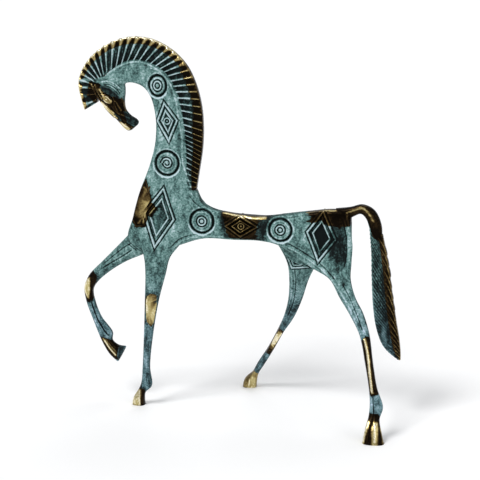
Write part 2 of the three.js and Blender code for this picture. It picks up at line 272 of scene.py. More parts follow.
class Skin:
    """The points of a mesh with their neighbours, for smoothing and carving."""

    def __init__(self, mesh: bpy.types.Mesh) -> None:
        """Reads the mesh.

        Args:
            mesh: The mesh to work on. Its faces stay as they are.
        """
        self.mesh = mesh
        points = np.empty(len(mesh.vertices) * 3, np.float32)
        mesh.vertices.foreach_get("co", points)
        self.points = points.reshape(-1, 3).astype(float)
        edges = np.empty(len(mesh.edges) * 2, np.int32)
        mesh.edges.foreach_get("vertices", edges)
        self.edges = edges.reshape(-1, 2)
        self.degree = np.maximum(np.bincount(edges, minlength=len(self.points)), 1)

    def average(self, values: Array) -> Array:
        """The mean of each point's neighbours, for one or more columns of values."""
        a, b = self.edges.T
        ends, others = np.concatenate([a, b]), np.concatenate([b, a])
        columns = values.reshape(len(values), -1)
        total = [
            np.bincount(ends, weights=column[others], minlength=len(values))
            for column in columns.T
        ]
        return (np.stack(total, 1) / self.degree[:, None]).reshape(values.shape)

    def smooth(self, rounds: int, share: Array | float = 1.0) -> None:
        """Evens the skin without thinning it.

        Args:
            rounds: How many times to go over it.
            share: How much of each step a point takes.
        """
        for _ in range(rounds):
            for step in (0.5, -0.53):
                change = self.average(self.points) - self.points
                self.points += step * change * np.reshape(share, (-1, 1))

    def normals(self) -> Array:
        """The outward direction at every point."""
        self.write()
        normals = np.empty(len(self.points) * 3, np.float32)
        self.mesh.vertex_normals.foreach_get("vector", normals)
        return normals.reshape(-1, 3).astype(float)

    def hollow(self, rounds: int) -> Array:
        """How far each point lies below its wider surroundings, in millimetres."""
        even = self.points
        for _ in range(rounds):
            even = 0.5 * even + 0.5 * self.average(even)
        return np.einsum("ij,ij->i", even - self.points, self.normals())

    def write(self) -> None:
        """Puts the points back into the mesh."""
        self.mesh.vertices.foreach_set("co", self.points.astype(np.float32).ravel())
        self.mesh.update()


# Node trees


class Value:
    """A number socket that takes part in Python expressions."""

    def __init__(self, graph: Graph, socket: bpy.types.NodeSocket) -> None:
        """Wraps a socket of a tree."""
        self.graph = graph
        self.socket = socket

    def math(self, operation: str, *others: Value | float) -> Value:
        """This value and others through one Math node."""
        settings = {"operation": operation}
        node = self.graph.add("ShaderNodeMath", settings, dict(enumerate((self, *others))))
        return Value(self.graph, node.outputs[0])

    def _after(self, operation: str, other: Value | float) -> Value:
        """The operation with this value in second place."""
        settings = {"operation": operation}
        node = self.graph.add("ShaderNodeMath", settings, {0: other, 1: self})
        return Value(self.graph, node.outputs[0])

    def __add__(self, other: Value | float) -> Value:
        """Sum."""
        return self.math("ADD", other)

    __radd__ = __add__

    def __mul__(self, other: Value | float) -> Value:
        """Product."""
        return self.math("MULTIPLY", other)

    __rmul__ = __mul__

    def __sub__(self, other: Value | float) -> Value:
        """Difference."""
        return self.math("SUBTRACT", other)

    def __rsub__(self, other: Value | float) -> Value:
        """Difference, reflected."""
        return self._after("SUBTRACT", other)

    def __truediv__(self, other: Value | float) -> Value:
        """Quotient."""
        return self.math("DIVIDE", other)

    def __rtruediv__(self, other: Value | float) -> Value:
        """Quotient, reflected."""
        return self._after("DIVIDE", other)

    def __pow__(self, other: Value | float) -> Value:
        """Power."""
        return self.math("POWER", other)

    def step(self, low: float, high: float) -> Value:
        """An easy step from 0 at low to 1 at high."""
        node = self.graph.add(
            "ShaderNodeMapRange",
            {"interpolation_type": "SMOOTHSTEP"},
            {"Value": self, "From Min": low, "From Max": high},
        )
        return Value(self.graph, node.outputs["Result"])


class Graph:
    """A node tree under construction."""

    def __init__(self, tree: bpy.types.NodeTree) -> None:
        """Starts on a tree, whose nodes are cleared."""
        self.tree = tree
        tree.nodes.clear()

    def add(
        self,
        kind: str,
        settings: dict[str, object] | None = None,
        inputs: dict[str | int, object] | None = None,
    ) -> bpy.types.Node:
        """Adds a node.

        Args:
            kind: The node's type.
            settings: Its own settings, set first.
            inputs: Values or links for its sockets, by name, identifier or place.

        Returns:
            The new node.
        """
        node = self.tree.nodes.new(kind)
        for name, value in (settings or {}).items():
            if name == "stops":
                self._set_stops(node.color_ramp, value)
            else:
                setattr(node, name, value)
        for name, value in (inputs or {}).items():
            self._feed(self._socket(node, name), value)
        return node

    @staticmethod
    def _set_stops(ramp: bpy.types.ColorRamp, stops: Sequence[tuple]) -> None:
        """Fills a colour ramp with places and colours."""
        while len(ramp.elements) < len(stops):
            ramp.elements.new(0.5)
        for element, (place, colour) in zip(ramp.elements, stops):
            element.position = place
            element.color = (*colour, 1.0)

    @staticmethod
    def _socket(node: bpy.types.Node, name: str | int) -> bpy.types.NodeSocket:
        """A node's input, by place, identifier or name."""
        if isinstance(name, int):
            return node.inputs[name]
        by_identifier = {socket.identifier: socket for socket in node.inputs}
        return by_identifier.get(name) or node.inputs[name]

    def _feed(self, socket: bpy.types.NodeSocket, value: object) -> None:
        """Links or sets one socket."""
        if isinstance(value, Value):
            self.tree.links.new(value.socket, socket)
        elif isinstance(value, bpy.types.NodeSocket):
            self.tree.links.new(value, socket)
        else:
            socket.default_value = value

    def value(self, node: bpy.types.Node, output: str | int = 0) -> Value:
        """One of a node's outputs, ready for expressions."""
        return Value(self, node.outputs[output])

    def attribute(self, name: str) -> Value:
        """A number painted on the mesh."""
        return self.value(self.add("ShaderNodeAttribute", {"attribute_name": name}), "Fac")

    def blend(
        self, share: Value | float, first: object, second: object, how: str = "MIX",
    ) -> bpy.types.NodeSocket:
        """A colour that goes from the first to the second with the share."""
        node = self.add(
            "ShaderNodeMix",
            {"data_type": "RGBA", "blend_type": how},
            {"Factor_Float": share, "A_Color": first, "B_Color": second},
        )
        return next(s for s in node.outputs if s.identifier == "Result_Color")


# Plain forms


@dataclass(frozen=True)
class Station:
    """A cut across a plank: its front and rear edge, its middle on Y, and its thickness."""

    front_x: float
    front_z: float
    rear_x: float
    rear_z: float
    y: float
    thick: float


@dataclass
class Plank:
    """A smooth plank or limb through stations."""

    stations: list[Station]
    squareness: float = 2.6
    steps: int = 8
    sides: int = 28

    def form(self) -> Form:
        """The plank as a closed form."""
        s = self.stations
        front = Curve(np.array([[c.front_x, c.y, c.front_z] for c in s]))
        rear = Curve(np.array([[c.rear_x, c.y, c.rear_z] for c in s]))
        thick = Curve(np.array([[c.thick, 0.0, 0.0] for c in s]))
        share = np.linspace(0.0, 1.0, (len(s) - 1) * self.steps + 1)
        a, b = front.at(share), rear.at(share)
        middle = (a + b) / 2
        width = np.linalg.norm(b - a, axis=1)
        along = (b - a) / width[:, None]
        across = np.cross(along, np.gradient(middle, axis=0))
        across /= np.linalg.norm(across, axis=1)[:, None]
        angle = 2 * np.pi * np.arange(self.sides) / self.sides
        reach_along = self._bend(np.cos(angle))[None, :, None]
        reach_across = self._bend(np.sin(angle))[None, :, None]
        half_thick = thick.at(share)[:, 0] / 2
        rings = (
            middle[:, None]
            + along[:, None] * reach_along * (width / 2)[:, None, None]
            + across[:, None] * reach_across * half_thick[:, None, None]
        )
        return skin(rings)

    def _bend(self, value: Array) -> Array:
        """Squares off a round section."""
        return np.sign(value) * np.abs(value) ** (2 / self.squareness)


@dataclass
class Trunk:
    """Neck, shoulder, barrel and haunch in one plank, with the head at its end."""

    neck: float = 7.4
    trunk: float = 9.4

    def forms(self) -> list[Form]:
        """The body plank and the head."""
        return [self._body().form(), self._head().form()]

    def _body(self) -> Plank:
        """The plank from the poll to the croup."""
        neck, trunk = self.neck, self.trunk
        return Plank([
            Station(-61.0, 162.5, -71.0, 164.5, 0, neck),
            Station(-58.6, 165.6, -66.0, 171.3, 0, neck),
            Station(-54.8, 166.8, -54.3, 178.2, 0, neck),
            Station(-48.6, 165.0, -41.5, 176.0, 0, neck),
            Station(-44.7, 160.2, -32.2, 166.2, 0, neck),
            Station(-42.2, 150.0, -27.9, 151.0, 0, neck),
            Station(-42.5, 137.5, -26.5, 137.0, 0, neck),
            Station(-45.6, 125.5, -25.4, 124.0, 0, neck + 0.4),
            Station(-51.2, 111.0, -21.9, 114.2, 0, neck + 1.0),
            Station(-54.6, 98.5, -18.0, 106.8, 0, trunk),
            Station(-57.0, 87.5, -11.5, 103.8, 0, trunk),
            Station(-44.0, 79.5, -6.5, 102.9, 0, trunk),
            Station(-30.5, 85.4, -1.5, 102.2, 0, trunk),
            Station(-18.0, 89.3, 2.0, 102.0, 0, trunk - 0.6),
            Station(-3.0, 89.2, 6.5, 101.8, 0, trunk - 0.8),
            Station(10.5, 89.2, 14.5, 101.7, 0, trunk - 0.6),
            Station(19.5, 87.4, 24.5, 103.2, 0, trunk),
            Station(29.5, 81.6, 35.0, 104.8, 0, trunk),
            Station(42.0, 75.6, 46.0, 106.2, 0, trunk),
            Station(52.0, 79.0, 54.0, 105.6, 0, trunk - 1),
            Station(55.8, 86.0, 55.8, 103.0, 0, trunk - 4),
        ], squareness=4.6)

    def _head(self) -> Plank:
        """The head from the poll to the lips."""
        return Plank([
            Station(-74.0, 168.5, -62.0, 170.5, 0, 6.5),
            Station(-75.4, 165.2, -58.0, 166.0, 0, 8.4),
            Station(-73.2, 161.6, -57.6, 162.0, 0, 9.2),
            Station(-70.6, 157.6, -58.0, 157.6, 0, 8.6),
            Station(-66.6, 152.4, -57.4, 153.2, 0, 7.2),
            Station(-61.9, 147.6, -54.9, 150.2, 0, 6.2),
            Station(-58.4, 143.8, -52.2, 148.6, 0, 6.0),
            Station(-56.4, 142.5, -51.1, 147.2, 0, 5.0),
            Station(-54.7, 142.9, -51.4, 145.8, 0, 2.8),
        ], squareness=2.4)


@dataclass
class Legs:
    """Three standing legs that splay apart and one lifted foreleg."""

    thigh: float = 5.6
    near_thigh_y: float = -2.3
    off_thigh_y: float = 2.3
    near_hind_hoof_y: float = -37.9
    off_hind_hoof_y: float = 37.5
    fore_hoof_y: float = -1.0
    below_ground: float = -1.5

    def forms(self) -> list[Form]:
        """The four legs."""
        legs = (self._near_fore(), self._raised_fore(), self._near_hind(), self._off_hind())
        return [leg.form() for leg in legs]

    def _near_fore(self) -> Plank:
        """The straight foreleg."""
        hoof, ground = self.fore_hoof_y, self.below_ground
        return Plank([
            Station(-52.5, 95.0, -26.0, 97.0, -0.6, 7.0),
            Station(-51.2, 86.0, -29.5, 87.0, -0.8, 7.0),
            Station(-49.0, 78.0, -35.6, 78.6, -1.2, 6.8),
            Station(-48.4, 70.0, -37.9, 70.0, -1.4, 6.4),
            Station(-48.8, 56.0, -41.6, 56.0, -1.6, 5.8),
            Station(-49.5, 38.0, -44.8, 38.0, -1.6, 4.8),
            Station(-50.5, 20.0, -46.7, 20.3, -1.4, 4.4),
            Station(-51.2, 12.5, -45.9, 10.2, -1.2, 4.8),
            Station(-52.6, 8.6, -49.2, 6.6, hoof, 4.0),
            Station(-55.6, 3.6, -49.7, 3.4, hoof, 5.6),
            Station(-56.3, ground, -49.3, ground, hoof, 6.4),
        ])

    def _raised_fore(self) -> Plank:
        """The lifted foreleg, bent at the knee and the fetlock."""
        return Plank([
            Station(-52.0, 97.0, -40.0, 84.0, 1.0, 6.4),
            Station(-56.8, 90.1, -50.5, 78.9, 1.6, 6.4),
            Station(-62.0, 84.4, -58.4, 75.2, 3.0, 6.0),
            Station(-72.6, 73.6, -68.5, 68.6, 6.0, 5.6),
            Station(-80.6, 65.2, -76.2, 61.6, 8.2, 5.2),
            Station(-83.3, 58.0, -78.6, 57.2, 9.0, 5.0),
            Station(-82.4, 50.6, -77.7, 50.2, 9.4, 4.6),
            Station(-79.5, 42.0, -74.7, 42.6, 9.6, 4.2),
            Station(-76.2, 33.2, -68.9, 34.6, 9.6, 4.6),
            Station(-74.0, 28.2, -69.0, 30.6, 9.6, 3.8),
            Station(-70.8, 23.0, -66.0, 28.0, 9.6, 4.6),
            Station(-66.3, 18.8, -61.8, 27.4, 9.6, 5.6),
        ])

    def _near_hind(self) -> Plank:
        """The hind leg that splays towards the viewer."""
        top, thigh = self.near_thigh_y, self.thigh
        hoof, ground = self.near_hind_hoof_y, self.below_ground
        return Plank([
            Station(21.0, 93.0, 53.0, 102.0, top + 0.4, thigh - 0.8),
            Station(26.0, 84.2, 56.6, 91.0, top, thigh),
            Station(36.8, 77.0, 56.6, 81.0, top - 1.8, thigh),
            Station(46.0, 72.4, 56.6, 73.0, top - 4.8, thigh),
            Station(51.6, 64.0, 59.4, 64.6, top - 8.2, 5.6),
            Station(57.0, 56.6, 63.6, 57.8, top - 11.4, 5.4),
            Station(62.4, 47.4, 67.2, 48.2, top - 15.0, 5.0),
            Station(65.8, 35.0, 69.8, 35.2, top - 20.4, 4.6),
            Station(68.2, 24.5, 72.4, 24.2, top - 25.0, 4.4),
            Station(69.2, 18.0, 75.7, 15.6, top - 28.4, 4.6),
            Station(69.0, 12.0, 74.4, 10.4, top - 31.0, 4.4),
            Station(67.4, 5.2, 75.8, 4.6, hoof + 1.4, 6.0),
            Station(66.4, ground, 77.6, ground, hoof - 0.6, 7.4),
        ])

    def _off_hind(self) -> Plank:
        """The hind leg that splays away from the viewer."""
        top, thigh = self.off_thigh_y, self.thigh
        hoof, ground = self.off_hind_hoof_y, self.below_ground
        return Plank([
            Station(13.6, 93.5, 46.0, 94.0, top - 0.4, thigh - 0.8),
            Station(20.0, 85.0, 40.5, 82.0, top, thigh),
            Station(23.4, 77.0, 36.4, 73.6, top + 2.4, thigh),
            Station(23.8, 67.5, 33.6, 67.5, top + 6.0, thigh),
            Station(22.6, 55.6, 29.8, 56.0, top + 11.0, 5.4),
            Station(19.6, 45.0, 25.0, 45.2, top + 16.0, 5.0),
            Station(15.4, 35.4, 19.2, 36.2, top + 20.4, 4.6),
            Station(9.8, 24.6, 13.4, 25.2, top + 25.2, 4.4),
            Station(3.6, 14.0, 7.6, 15.4, top + 30.0, 4.4),
            Station(0.6, 8.8, 4.2, 9.2, top + 32.6, 4.2),
            Station(-4.2, 3.6, 3.0, 5.0, hoof - 0.8, 6.0),
            Station(-5.2, ground, 2.2, ground, hoof + 0.6, 7.2),
        ])


# Ribs, laid by Geometry Nodes


@dataclass
class RibFan:
    """A row of tapering ribs that reach from an inner edge curve to an outer one."""

    name: str
    inner: Curve
    outer: Curve
    count: int
    foot_width: float
    rim_width: float
    foot_thick: float
    rim_thick: float
    bow: float = 0.0
    flare: float = 2.2
    slant: float = 0.0
    reach: float = 0.97
    seed: int = 3

    def form(self) -> Form:
        """The ribs as closed shells."""
        edges = [self._edge(part, curve) for part, curve in
                 (("inner", self.inner), ("outer", self.outer))]
        fan = linked(self.name, bpy.data.meshes.new(self.name))
        modifier = fan.modifiers.new("ribs", "NODES")
        tree = self._tree()
        modifier.node_group = tree
        sizes = {
            "Inner Edge": edges[0],
            "Outer Edge": edges[1],
            "Count": self.count,
            "Foot Width": self.foot_width,
            "Rim Width": self.rim_width,
            "Foot Thickness": self.foot_thick,
            "Rim Thickness": self.rim_thick,
            "Bow": self.bow,
            "Flare": self.flare,
            "Slant": self.slant,
            "Reach": self.reach,
            "Seed": self.seed,
        }
        for item in tree.interface.items_tree:
            if item.item_type == "SOCKET" and item.name in sizes:
                modifier[item.identifier] = sizes[item.name]
        mesh = evaluated(fan)
        form = form_of(mesh)
        bpy.data.meshes.remove(mesh)
        for obj in (fan, *edges):
            bpy.data.objects.remove(obj)
        bpy.data.node_groups.remove(tree)
        return form

    def _edge(self, part: str, curve: Curve) -> bpy.types.Object:
        """An object whose points follow an edge in even shares."""
        data = bpy.data.meshes.new(f"{self.name}_{part}")
        data.from_pydata(curve.at(np.linspace(0.0, 1.0, EDGE_STEPS + 1)).tolist(), [], [])
        return linked(f"{self.name}_{part}", data)

    def _tree(self) -> bpy.types.NodeTree:
        """The tree that makes one rib and repeats it along the two edges."""
        tree = bpy.data.node_groups.new(f"{self.name}_ribs", "GeometryNodeTree")
        graph = Graph(tree)
        kinds = {
            "Inner Edge": "NodeSocketObject", "Outer Edge": "NodeSocketObject",
            "Count": "NodeSocketInt", "Foot Width": "NodeSocketFloat",
            "Rim Width": "NodeSocketFloat", "Foot Thickness": "NodeSocketFloat",
            "Rim Thickness": "NodeSocketFloat", "Bow": "NodeSocketFloat",
            "Flare": "NodeSocketFloat", "Slant": "NodeSocketFloat",
            "Reach": "NodeSocketFloat", "Seed": "NodeSocketInt",
            "Finish": "NodeSocketMaterial",
        }
        for name, kind in kinds.items():
            tree.interface.new_socket(name, in_out="INPUT", socket_type=kind)
        tree.interface.new_socket("Geometry", in_out="OUTPUT", socket_type="NodeSocketGeometry")
        given = graph.add("NodeGroupInput")
        ask = {name: graph.value(given, name) for name in kinds}
        index = graph.value(graph.add("GeometryNodeInputIndex"))
        share = (index + 0.5) / ask["Count"]
        half_pitch = 0.5 / ask["Count"]
        foot = self._sample(graph, ask["Inner Edge"], share)
        rim_share = share + ask["Slant"]
        rim = self._sample(graph, ask["Outer Edge"], rim_share)
        before = self._sample(graph, ask["Outer Edge"], rim_share - half_pitch)
        after = self._sample(graph, ask["Outer Edge"], rim_share + half_pitch)
        reach = self._vector(graph, "SUBTRACT", rim, foot)
        length = self._length(graph, reach)
        pitch = self._length(graph, self._vector(graph, "SUBTRACT", after, before))
        waver = graph.value(graph.add(
            "FunctionNodeRandomValue", {"data_type": "FLOAT"},
            {"Min_001": 0.86, "Max_001": 1.14, "ID": index, "Seed": ask["Seed"]},
        ), 1)
        scale = graph.add("ShaderNodeCombineXYZ", None, {
            0: length * ask["Reach"], 1: 1.0, 2: pitch * waver,
        })
        turn = graph.add(
            "FunctionNodeAxesToRotation", {"primary_axis": "X", "secondary_axis": "Y"},
            {"Primary Axis": reach, "Secondary Axis": (0.0, 1.0, 0.0)},
        )
        row = graph.add("GeometryNodeMeshLine", None, {"Count": ask["Count"]})
        laid = graph.add("GeometryNodeSetPosition", None,
                         {"Geometry": row.outputs[0], "Position": foot})
        placed = graph.add("GeometryNodeInstanceOnPoints", None, {
            "Points": laid.outputs[0], "Instance": self._rib(graph, ask),
            "Rotation": turn.outputs[0], "Scale": scale.outputs[0],
        })
        real = graph.add("GeometryNodeRealizeInstances", None, {"Geometry": placed.outputs[0]})
        dressed = graph.add("GeometryNodeSetMaterial", None,
                            {"Geometry": real.outputs[0], "Material": ask["Finish"]})
        graph.add("NodeGroupOutput", None, {"Geometry": dressed.outputs[0]})
        return tree

    @staticmethod
    def _rib(graph: Graph, ask: dict[str, Value]) -> bpy.types.NodeSocket:
        """One rib of unit length along X and unit pitch along Z."""
        bar = graph.add("GeometryNodeMeshCylinder", None, {
            "Vertices": 14, "Side Segments": 12, "Radius": 0.5, "Depth": 1.0,
        })
        place = graph.add("ShaderNodeSeparateXYZ", None,
                          {0: graph.add("GeometryNodeInputPosition").outputs[0]})
        x, y, z = (graph.value(place, k) for k in range(3))
        share = z + 0.5
        flared = share ** ask["Flare"]
        width = ask["Foot Width"] + (ask["Rim Width"] - ask["Foot Width"]) * flared
        thick = ask["Foot Thickness"] + (ask["Rim Thickness"] - ask["Foot Thickness"]) * share
        bowed = share * (1.0 - share) * ask["Bow"]
        moved = graph.add("ShaderNodeCombineXYZ", None,
                          {0: share, 1: y * thick, 2: bowed - x * width})
        shaped = graph.add("GeometryNodeSetPosition", None,
                           {"Geometry": bar.outputs["Mesh"], "Position": moved.outputs[0]})
        return shaped.outputs[0]

    @staticmethod
    def _sample(graph: Graph, edge: Value, share: Value) -> bpy.types.NodeSocket:
        """The place at a share of the way along an edge."""
        info = graph.add("GeometryNodeObjectInfo", {"transform_space": "ORIGINAL"},
                         {"Object": edge})
        node = graph.add(
            "GeometryNodeSampleIndex", {"data_type": "FLOAT_VECTOR", "clamp": True},
            {
                "Geometry": info.outputs["Geometry"],
                "Value": graph.add("GeometryNodeInputPosition").outputs[0],
                "Index": share * EDGE_STEPS + 0.5,
            },
        )
        return next(s for s in node.outputs if s.enabled)

    @staticmethod
    def _vector(graph: Graph, operation: str, a: object, b: object) -> bpy.types.NodeSocket:
        """Two vectors through one Vector Math node."""
        node = graph.add("ShaderNodeVectorMath", {"operation": operation}, {0: a, 1: b})
        return node.outputs[0]

    @staticmethod
    def _length(graph: Graph, vector: object) -> Value:
        """The length of a vector."""
        node = graph.add("ShaderNodeVectorMath", {"operation": "LENGTH"}, {0: vector})
        return graph.value(node, "Value")


@dataclass
class Blade:
    """The web that carries a row of ribs, thinner and shorter than they are."""

    inner: Curve
    outer: Curve
    foot_thick: float
    rim_thick: float
    reach: float
    tip_share: float = 1.0

    def form(self) -> Form:
        """The web as a closed form."""
        share = np.linspace(0.0, 1.0, 200)
        inner, outer = self.inner.at(share), self.outer.at(share)
        out = np.linspace(0.0, self.reach, 7)
        thin = 1.0 + (self.tip_share - 1.0) * share**4
        half = (self.foot_thick + (self.rim_thick - self.foot_thick) * out) / 2
        middle = inner[:, None] + (outer - inner)[:, None] * out[None, :, None]
        lift = thin[:, None] * half[None]
        near, off = middle.copy(), middle[:, ::-1].copy()
        near[..., 1] = -lift
        off[..., 1] = lift[:, ::-1]
        return skin(np.concatenate([near, off], 1))


@dataclass
class Crest:
    """The ribbed crest, from the forelock to the withers."""

    ribs: int = 42
    rim_width: float = 0.80
    rear_rim_width: float = 0.32
    foot_width: float = 0.22
    flare: float = 3.2
    inner: Curve = field(default_factory=lambda: profile(
        (-71.7, 156.6), (-72.0, 164.5), (-70.2, 167.3), (-67.3, 170.8), (-60.2, 175.2),
        (-51.8, 177.0), (-43.6, 175.2), (-37.3, 171.4), (-33.2, 164.1), (-30.2, 155.4),
        (-28.2, 145.3), (-27.0, 138.2), (-27.0, 132.0), (-27.1, 124.1), (-25.6, 114.3),
    ))
    outer: Curve = field(default_factory=lambda: profile(
        (-78.6, 152.4), (-81.4, 166.1), (-77.6, 175.7), (-68.8, 184.0), (-56.8, 188.9),
        (-44.6, 188.5), (-33.6, 183.1), (-26.0, 175.3), (-21.2, 164.9), (-18.7, 153.6),
        (-18.2, 141.9), (-18.7, 134.0), (-19.6, 127.8), (-20.8, 120.5), (-21.8, 114.2),
    ))

    def forms(self) -> list[Form]:
        """The web and its ribs, broad at the rim over the poll and narrower down the neck."""
        web = Blade(self.inner, self.outer, foot_thick=3.6, rim_thick=3.0, reach=0.995)
        half = len(self.inner.points) // 2
        forms = [web.form()]
        for name, part, rim_width in (
            ("crest_front", slice(0, half + 1), self.rim_width),
            ("crest_rear", slice(half, None), self.rear_rim_width),
        ):
            inner, outer = Curve(self.inner.points[part]), Curve(self.outer.points[part])
            fan = RibFan(
                name, inner, outer, self.ribs // 2,
                foot_width=self.foot_width, rim_width=rim_width,
                foot_thick=6.4, rim_thick=4.4, flare=self.flare,
            )
            forms.append(fan.form())
        return forms

    def paint(self, coat: Coat) -> None:
        """Darkens the troughs, lays painted highlights on the ridges and rubs the rim, to gold over
        the poll and bronze down the neck.

        Args:
            coat: The coat to paint on.
        """
        band = Band(self.inner, self.outer, self.ribs * 16)
        share, along, gap = band.place(coat.points)
        front, rear = smoothstep(0.53, 0.47, along), smoothstep(0.47, 0.53, along)
        low = smoothstep(0.62, 0.72, along)
        held = np.clip(share, 0, 1)
        on = smoothstep(0.7, 0.2, gap) * smoothstep(0.05, 0.12, share)
        phase = 2 * np.abs((along * self.ribs) % 1.0 - 0.5)
        rim_width = self.rim_width * front + self.rear_rim_width * rear
        width = self.foot_width + (rim_width - self.foot_width) * held**self.flare
        trough = smoothstep(width - 0.04, width + 0.20, phase)
        ridge = 1 - trough
        # Painted highlight: the ridges are paled.
        coat.lay(on * ridge, Look.PALE, 0.7)
        coat.lay(on * trough, Look.BLACK, 0.86)
        coat.lay(on * smoothstep(0.78, 0.94, phase) * smoothstep(0.72, 0.6, share), Look.DARK, 0.7)
        # Painted blue-white highlight on the ridges partway down the neck.
        blue_ridge_highlight = bump(along - 0.60, 0.09) * smoothstep(0.75, 0.5, share)
        coat.lay(on * ridge * blue_ridge_highlight, Look.WHITE_HIGHLIGHT, 0.6)
        rubbed = on * smoothstep(0.68, 0.80, share)
        coat.lay(rubbed * front * ridge, Look.OLD_GOLD)
        coat.lay(rubbed * smoothstep(0.42, 0.30, along) * ridge, Look.GOLD, 0.2)
        coat.lay(rubbed * front * trough, Look.BRONZE, 0.85)
        worn = on * smoothstep(0.52 - 0.14 * low, 0.74 - 0.2 * low, share) * rear
        coat.lay(worn * trough, Look.BRONZE, 0.9)
        coat.lay(worn * ridge, Look.BRONZE)
        coat.lay(worn * ridge * (1.0 - 0.45 * low), Look.OLD_GOLD, 0.9)
        edge = on * smoothstep(0.93, 0.965, share)
        coat.lay(edge * smoothstep(0.52, 0.40, along), Look.GOLD, 0.9)
        coat.lay(edge * smoothstep(0.50, 0.62, along), Look.BRONZE, 0.95)


@dataclass
class Tail:
    """The smooth stalk that arches out of the croup, and the hanging locks."""

    locks: int = 16
    strands: int = 34
    inner: Curve = field(default_factory=lambda: profile(
        (64.8, 98.0), (65.9, 86.0), (66.4, 72.0), (67.3, 58.0), (69.2, 46.6), (72.9, 37.5),
        (80.2, 30.8),
    ))
    outer: Curve = field(default_factory=lambda: profile(
        (71.4, 94.4), (74.4, 80.0), (76.7, 65.0), (79.0, 50.5), (80.7, 41.0), (81.4, 34.5),
        (81.5, 30.7),
    ))

    def forms(self) -> list[Form]:
        """The stalk, the web, the fine strands at the front and the locks at the rear."""
        stalk = Plank([
            Station(48.0, 101.0, 48.0, 106.8, 0, 5.6),
            Station(55.0, 102.2, 55.0, 107.7, 0, 5.4),
            Station(60.4, 104.4, 61.2, 109.2, 0, 5.0),
            Station(62.9, 102.2, 67.0, 106.6, 0, 5.0),
            Station(64.6, 97.6, 70.6, 99.6, 0, 4.6),
            Station(66.8, 90.0, 71.2, 91.6, 0, 2.4),
        ])
        web = Blade(self.inner, self.outer, 4.0, 3.2, reach=0.995, tip_share=0.6)
        strands = RibFan(
            "tail_strands", self.inner, self._between(0.72), self.strands, 0.34, 0.30, 4.6, 3.7,
            slant=0.095, flare=1.0, reach=1.0,
        )
        locks = RibFan(
            "tail_locks", self._between(0.34), self.outer, self.locks, 0.22, 0.26, 3.7, 4.2,
            slant=0.10, flare=1.0, bow=1.0, reach=0.93, seed=8,
        )
        return [stalk.form(), web.form(), strands.form(), locks.form()]

    def _between(self, share: float) -> Curve:
        """A curve that runs between the two edges."""
        return Curve(self.inner.points * (1 - share) + self.outer.points * share)

    def paint(self, coat: Coat) -> None:
        """Darkens the tail, most towards its rear edge, and rubs its stalk to gold.

        Args:
            coat: The coat to paint on.
        """
        share, along, gap = Band(self.inner, self.outer, 260).place(coat.points)
        on = smoothstep(0.9, 0.3, gap) * smoothstep(0.0, 0.04, along)
        low = smoothstep(0.75, 0.95, along) * smoothstep(0.55, 0.8, share)
        coat.lay(on, Look.DARK, 0.95)
        coat.lay(on * smoothstep(0.30, 0.66, share), Look.BLACK, 0.85)
        rear = on * smoothstep(0.52, 0.72, share)
        coat.lay(rear, Look.BRONZE, 0.92)
        coat.lay(rear, Look.OLD_GOLD, 0.35)
        coat.lay(on * low, Look.OLD_GOLD, 0.45)


# Carving


def inset(corners: Sequence[Corner], flat: Array) -> Array:
    """How far inside a convex outline each place lies; negative outside.

    Args:
        corners: The outline's corners as x and z, in order.
        flat: Places as x and z.

    Returns:
        The distance to the nearest side.
    """
    outline = np.array(corners)
    ahead = np.roll(outline, -1, axis=0)
    centre = outline.mean(0)
    depth = np.full(len(flat), np.inf)
    for a, b in zip(outline, ahead):
        way = (b - a) / np.linalg.norm(b - a)
        square = np.array([-way[1], way[0]])
        if (centre - a) @ square < 0:
            square = -square
        depth = np.minimum(depth, (flat - a) @ square)
    return depth


def distance_to(places: Sequence[Corner], flat: Array, reach: float) -> tuple[Array, Array]:
    """How far each place lies from a smooth line.

    Args:
        places: Where the line passes, as x and z.
        flat: Places as x and z.
        reach: How far from the line the answer matters.

    Returns:
        The distance to the line, endless out of reach, and the way along it to its nearer end.
    """
    line = Curve(np.array([[x, z] for x, z in places]))
    dots = line.at(np.linspace(0.0, 1.0, 24 * (len(places) - 1) + 1))
    steps = np.linalg.norm(np.diff(dots, axis=0), axis=1)
    travelled = np.concatenate([[0.0], np.cumsum(steps)])
    best = np.full(len(flat), np.inf)
    near_end = np.zeros(len(flat))
    low, high = dots.min(0) - reach, dots.max(0) + reach
    inside = np.flatnonzero(np.all((flat > low) & (flat < high), axis=1))
    for dot, way in zip(dots, travelled):
        gap = np.linalg.norm(flat[inside] - dot, axis=1)
        nearer = gap < best[inside]
        picked = inside[nearer]
        best[picked] = gap[nearer]
        near_end[picked] = min(way, travelled[-1] - way)
    return best, near_end


@dataclass(frozen=True)
class Band:
    """A band between two edge curves, such as the crest or the tail."""

    inner: Curve
    outer: Curve
    rows: int

    def place(self, points: Array) -> tuple[Array, Array, Array]:
        """Where each point lies on the band, seen from the side.

        Args:
            points: Places on the skin.

        Returns:
            The share of the way from the inner edge to the outer one, the share of the way
            along, and how far off the band the point is.
        """
        along = np.linspace(0.0, 1.0, self.rows)
        inner, outer = self.inner.at(along)[:, ::2], self.outer.at(along)[:, ::2]
        edges = np.concatenate([inner, outer])
        low, high = edges.min(0) - 1.5, edges.max(0) + 1.5
        close = np.flatnonzero(np.all((points[:, ::2] > low) & (points[:, ::2] < high), axis=1))
        flat = points[close][:, ::2]
        gap, share, row = np.full(len(flat), np.inf), np.zeros(len(flat)), np.zeros(len(flat))
        reach = outer - inner
        square = np.einsum("ij,ij->i", reach, reach)
        for way_along, start, way, size in zip(along, inner, reach, square):
            out = ((flat - start) @ way) / size
            held = np.clip(out, 0.0, 1.0)
            off = np.linalg.norm(flat - start - held[:, None] * way, axis=1)
            nearer = off < gap
            gap[nearer], share[nearer], row[nearer] = off[nearer], out[nearer], way_along
        all_gap, all_share, all_row = (np.full(len(points), v) for v in (np.inf, 0.0, 0.0))
        all_gap[close], all_share[close], all_row[close] = gap, share, row
        return all_share, all_row, all_gap


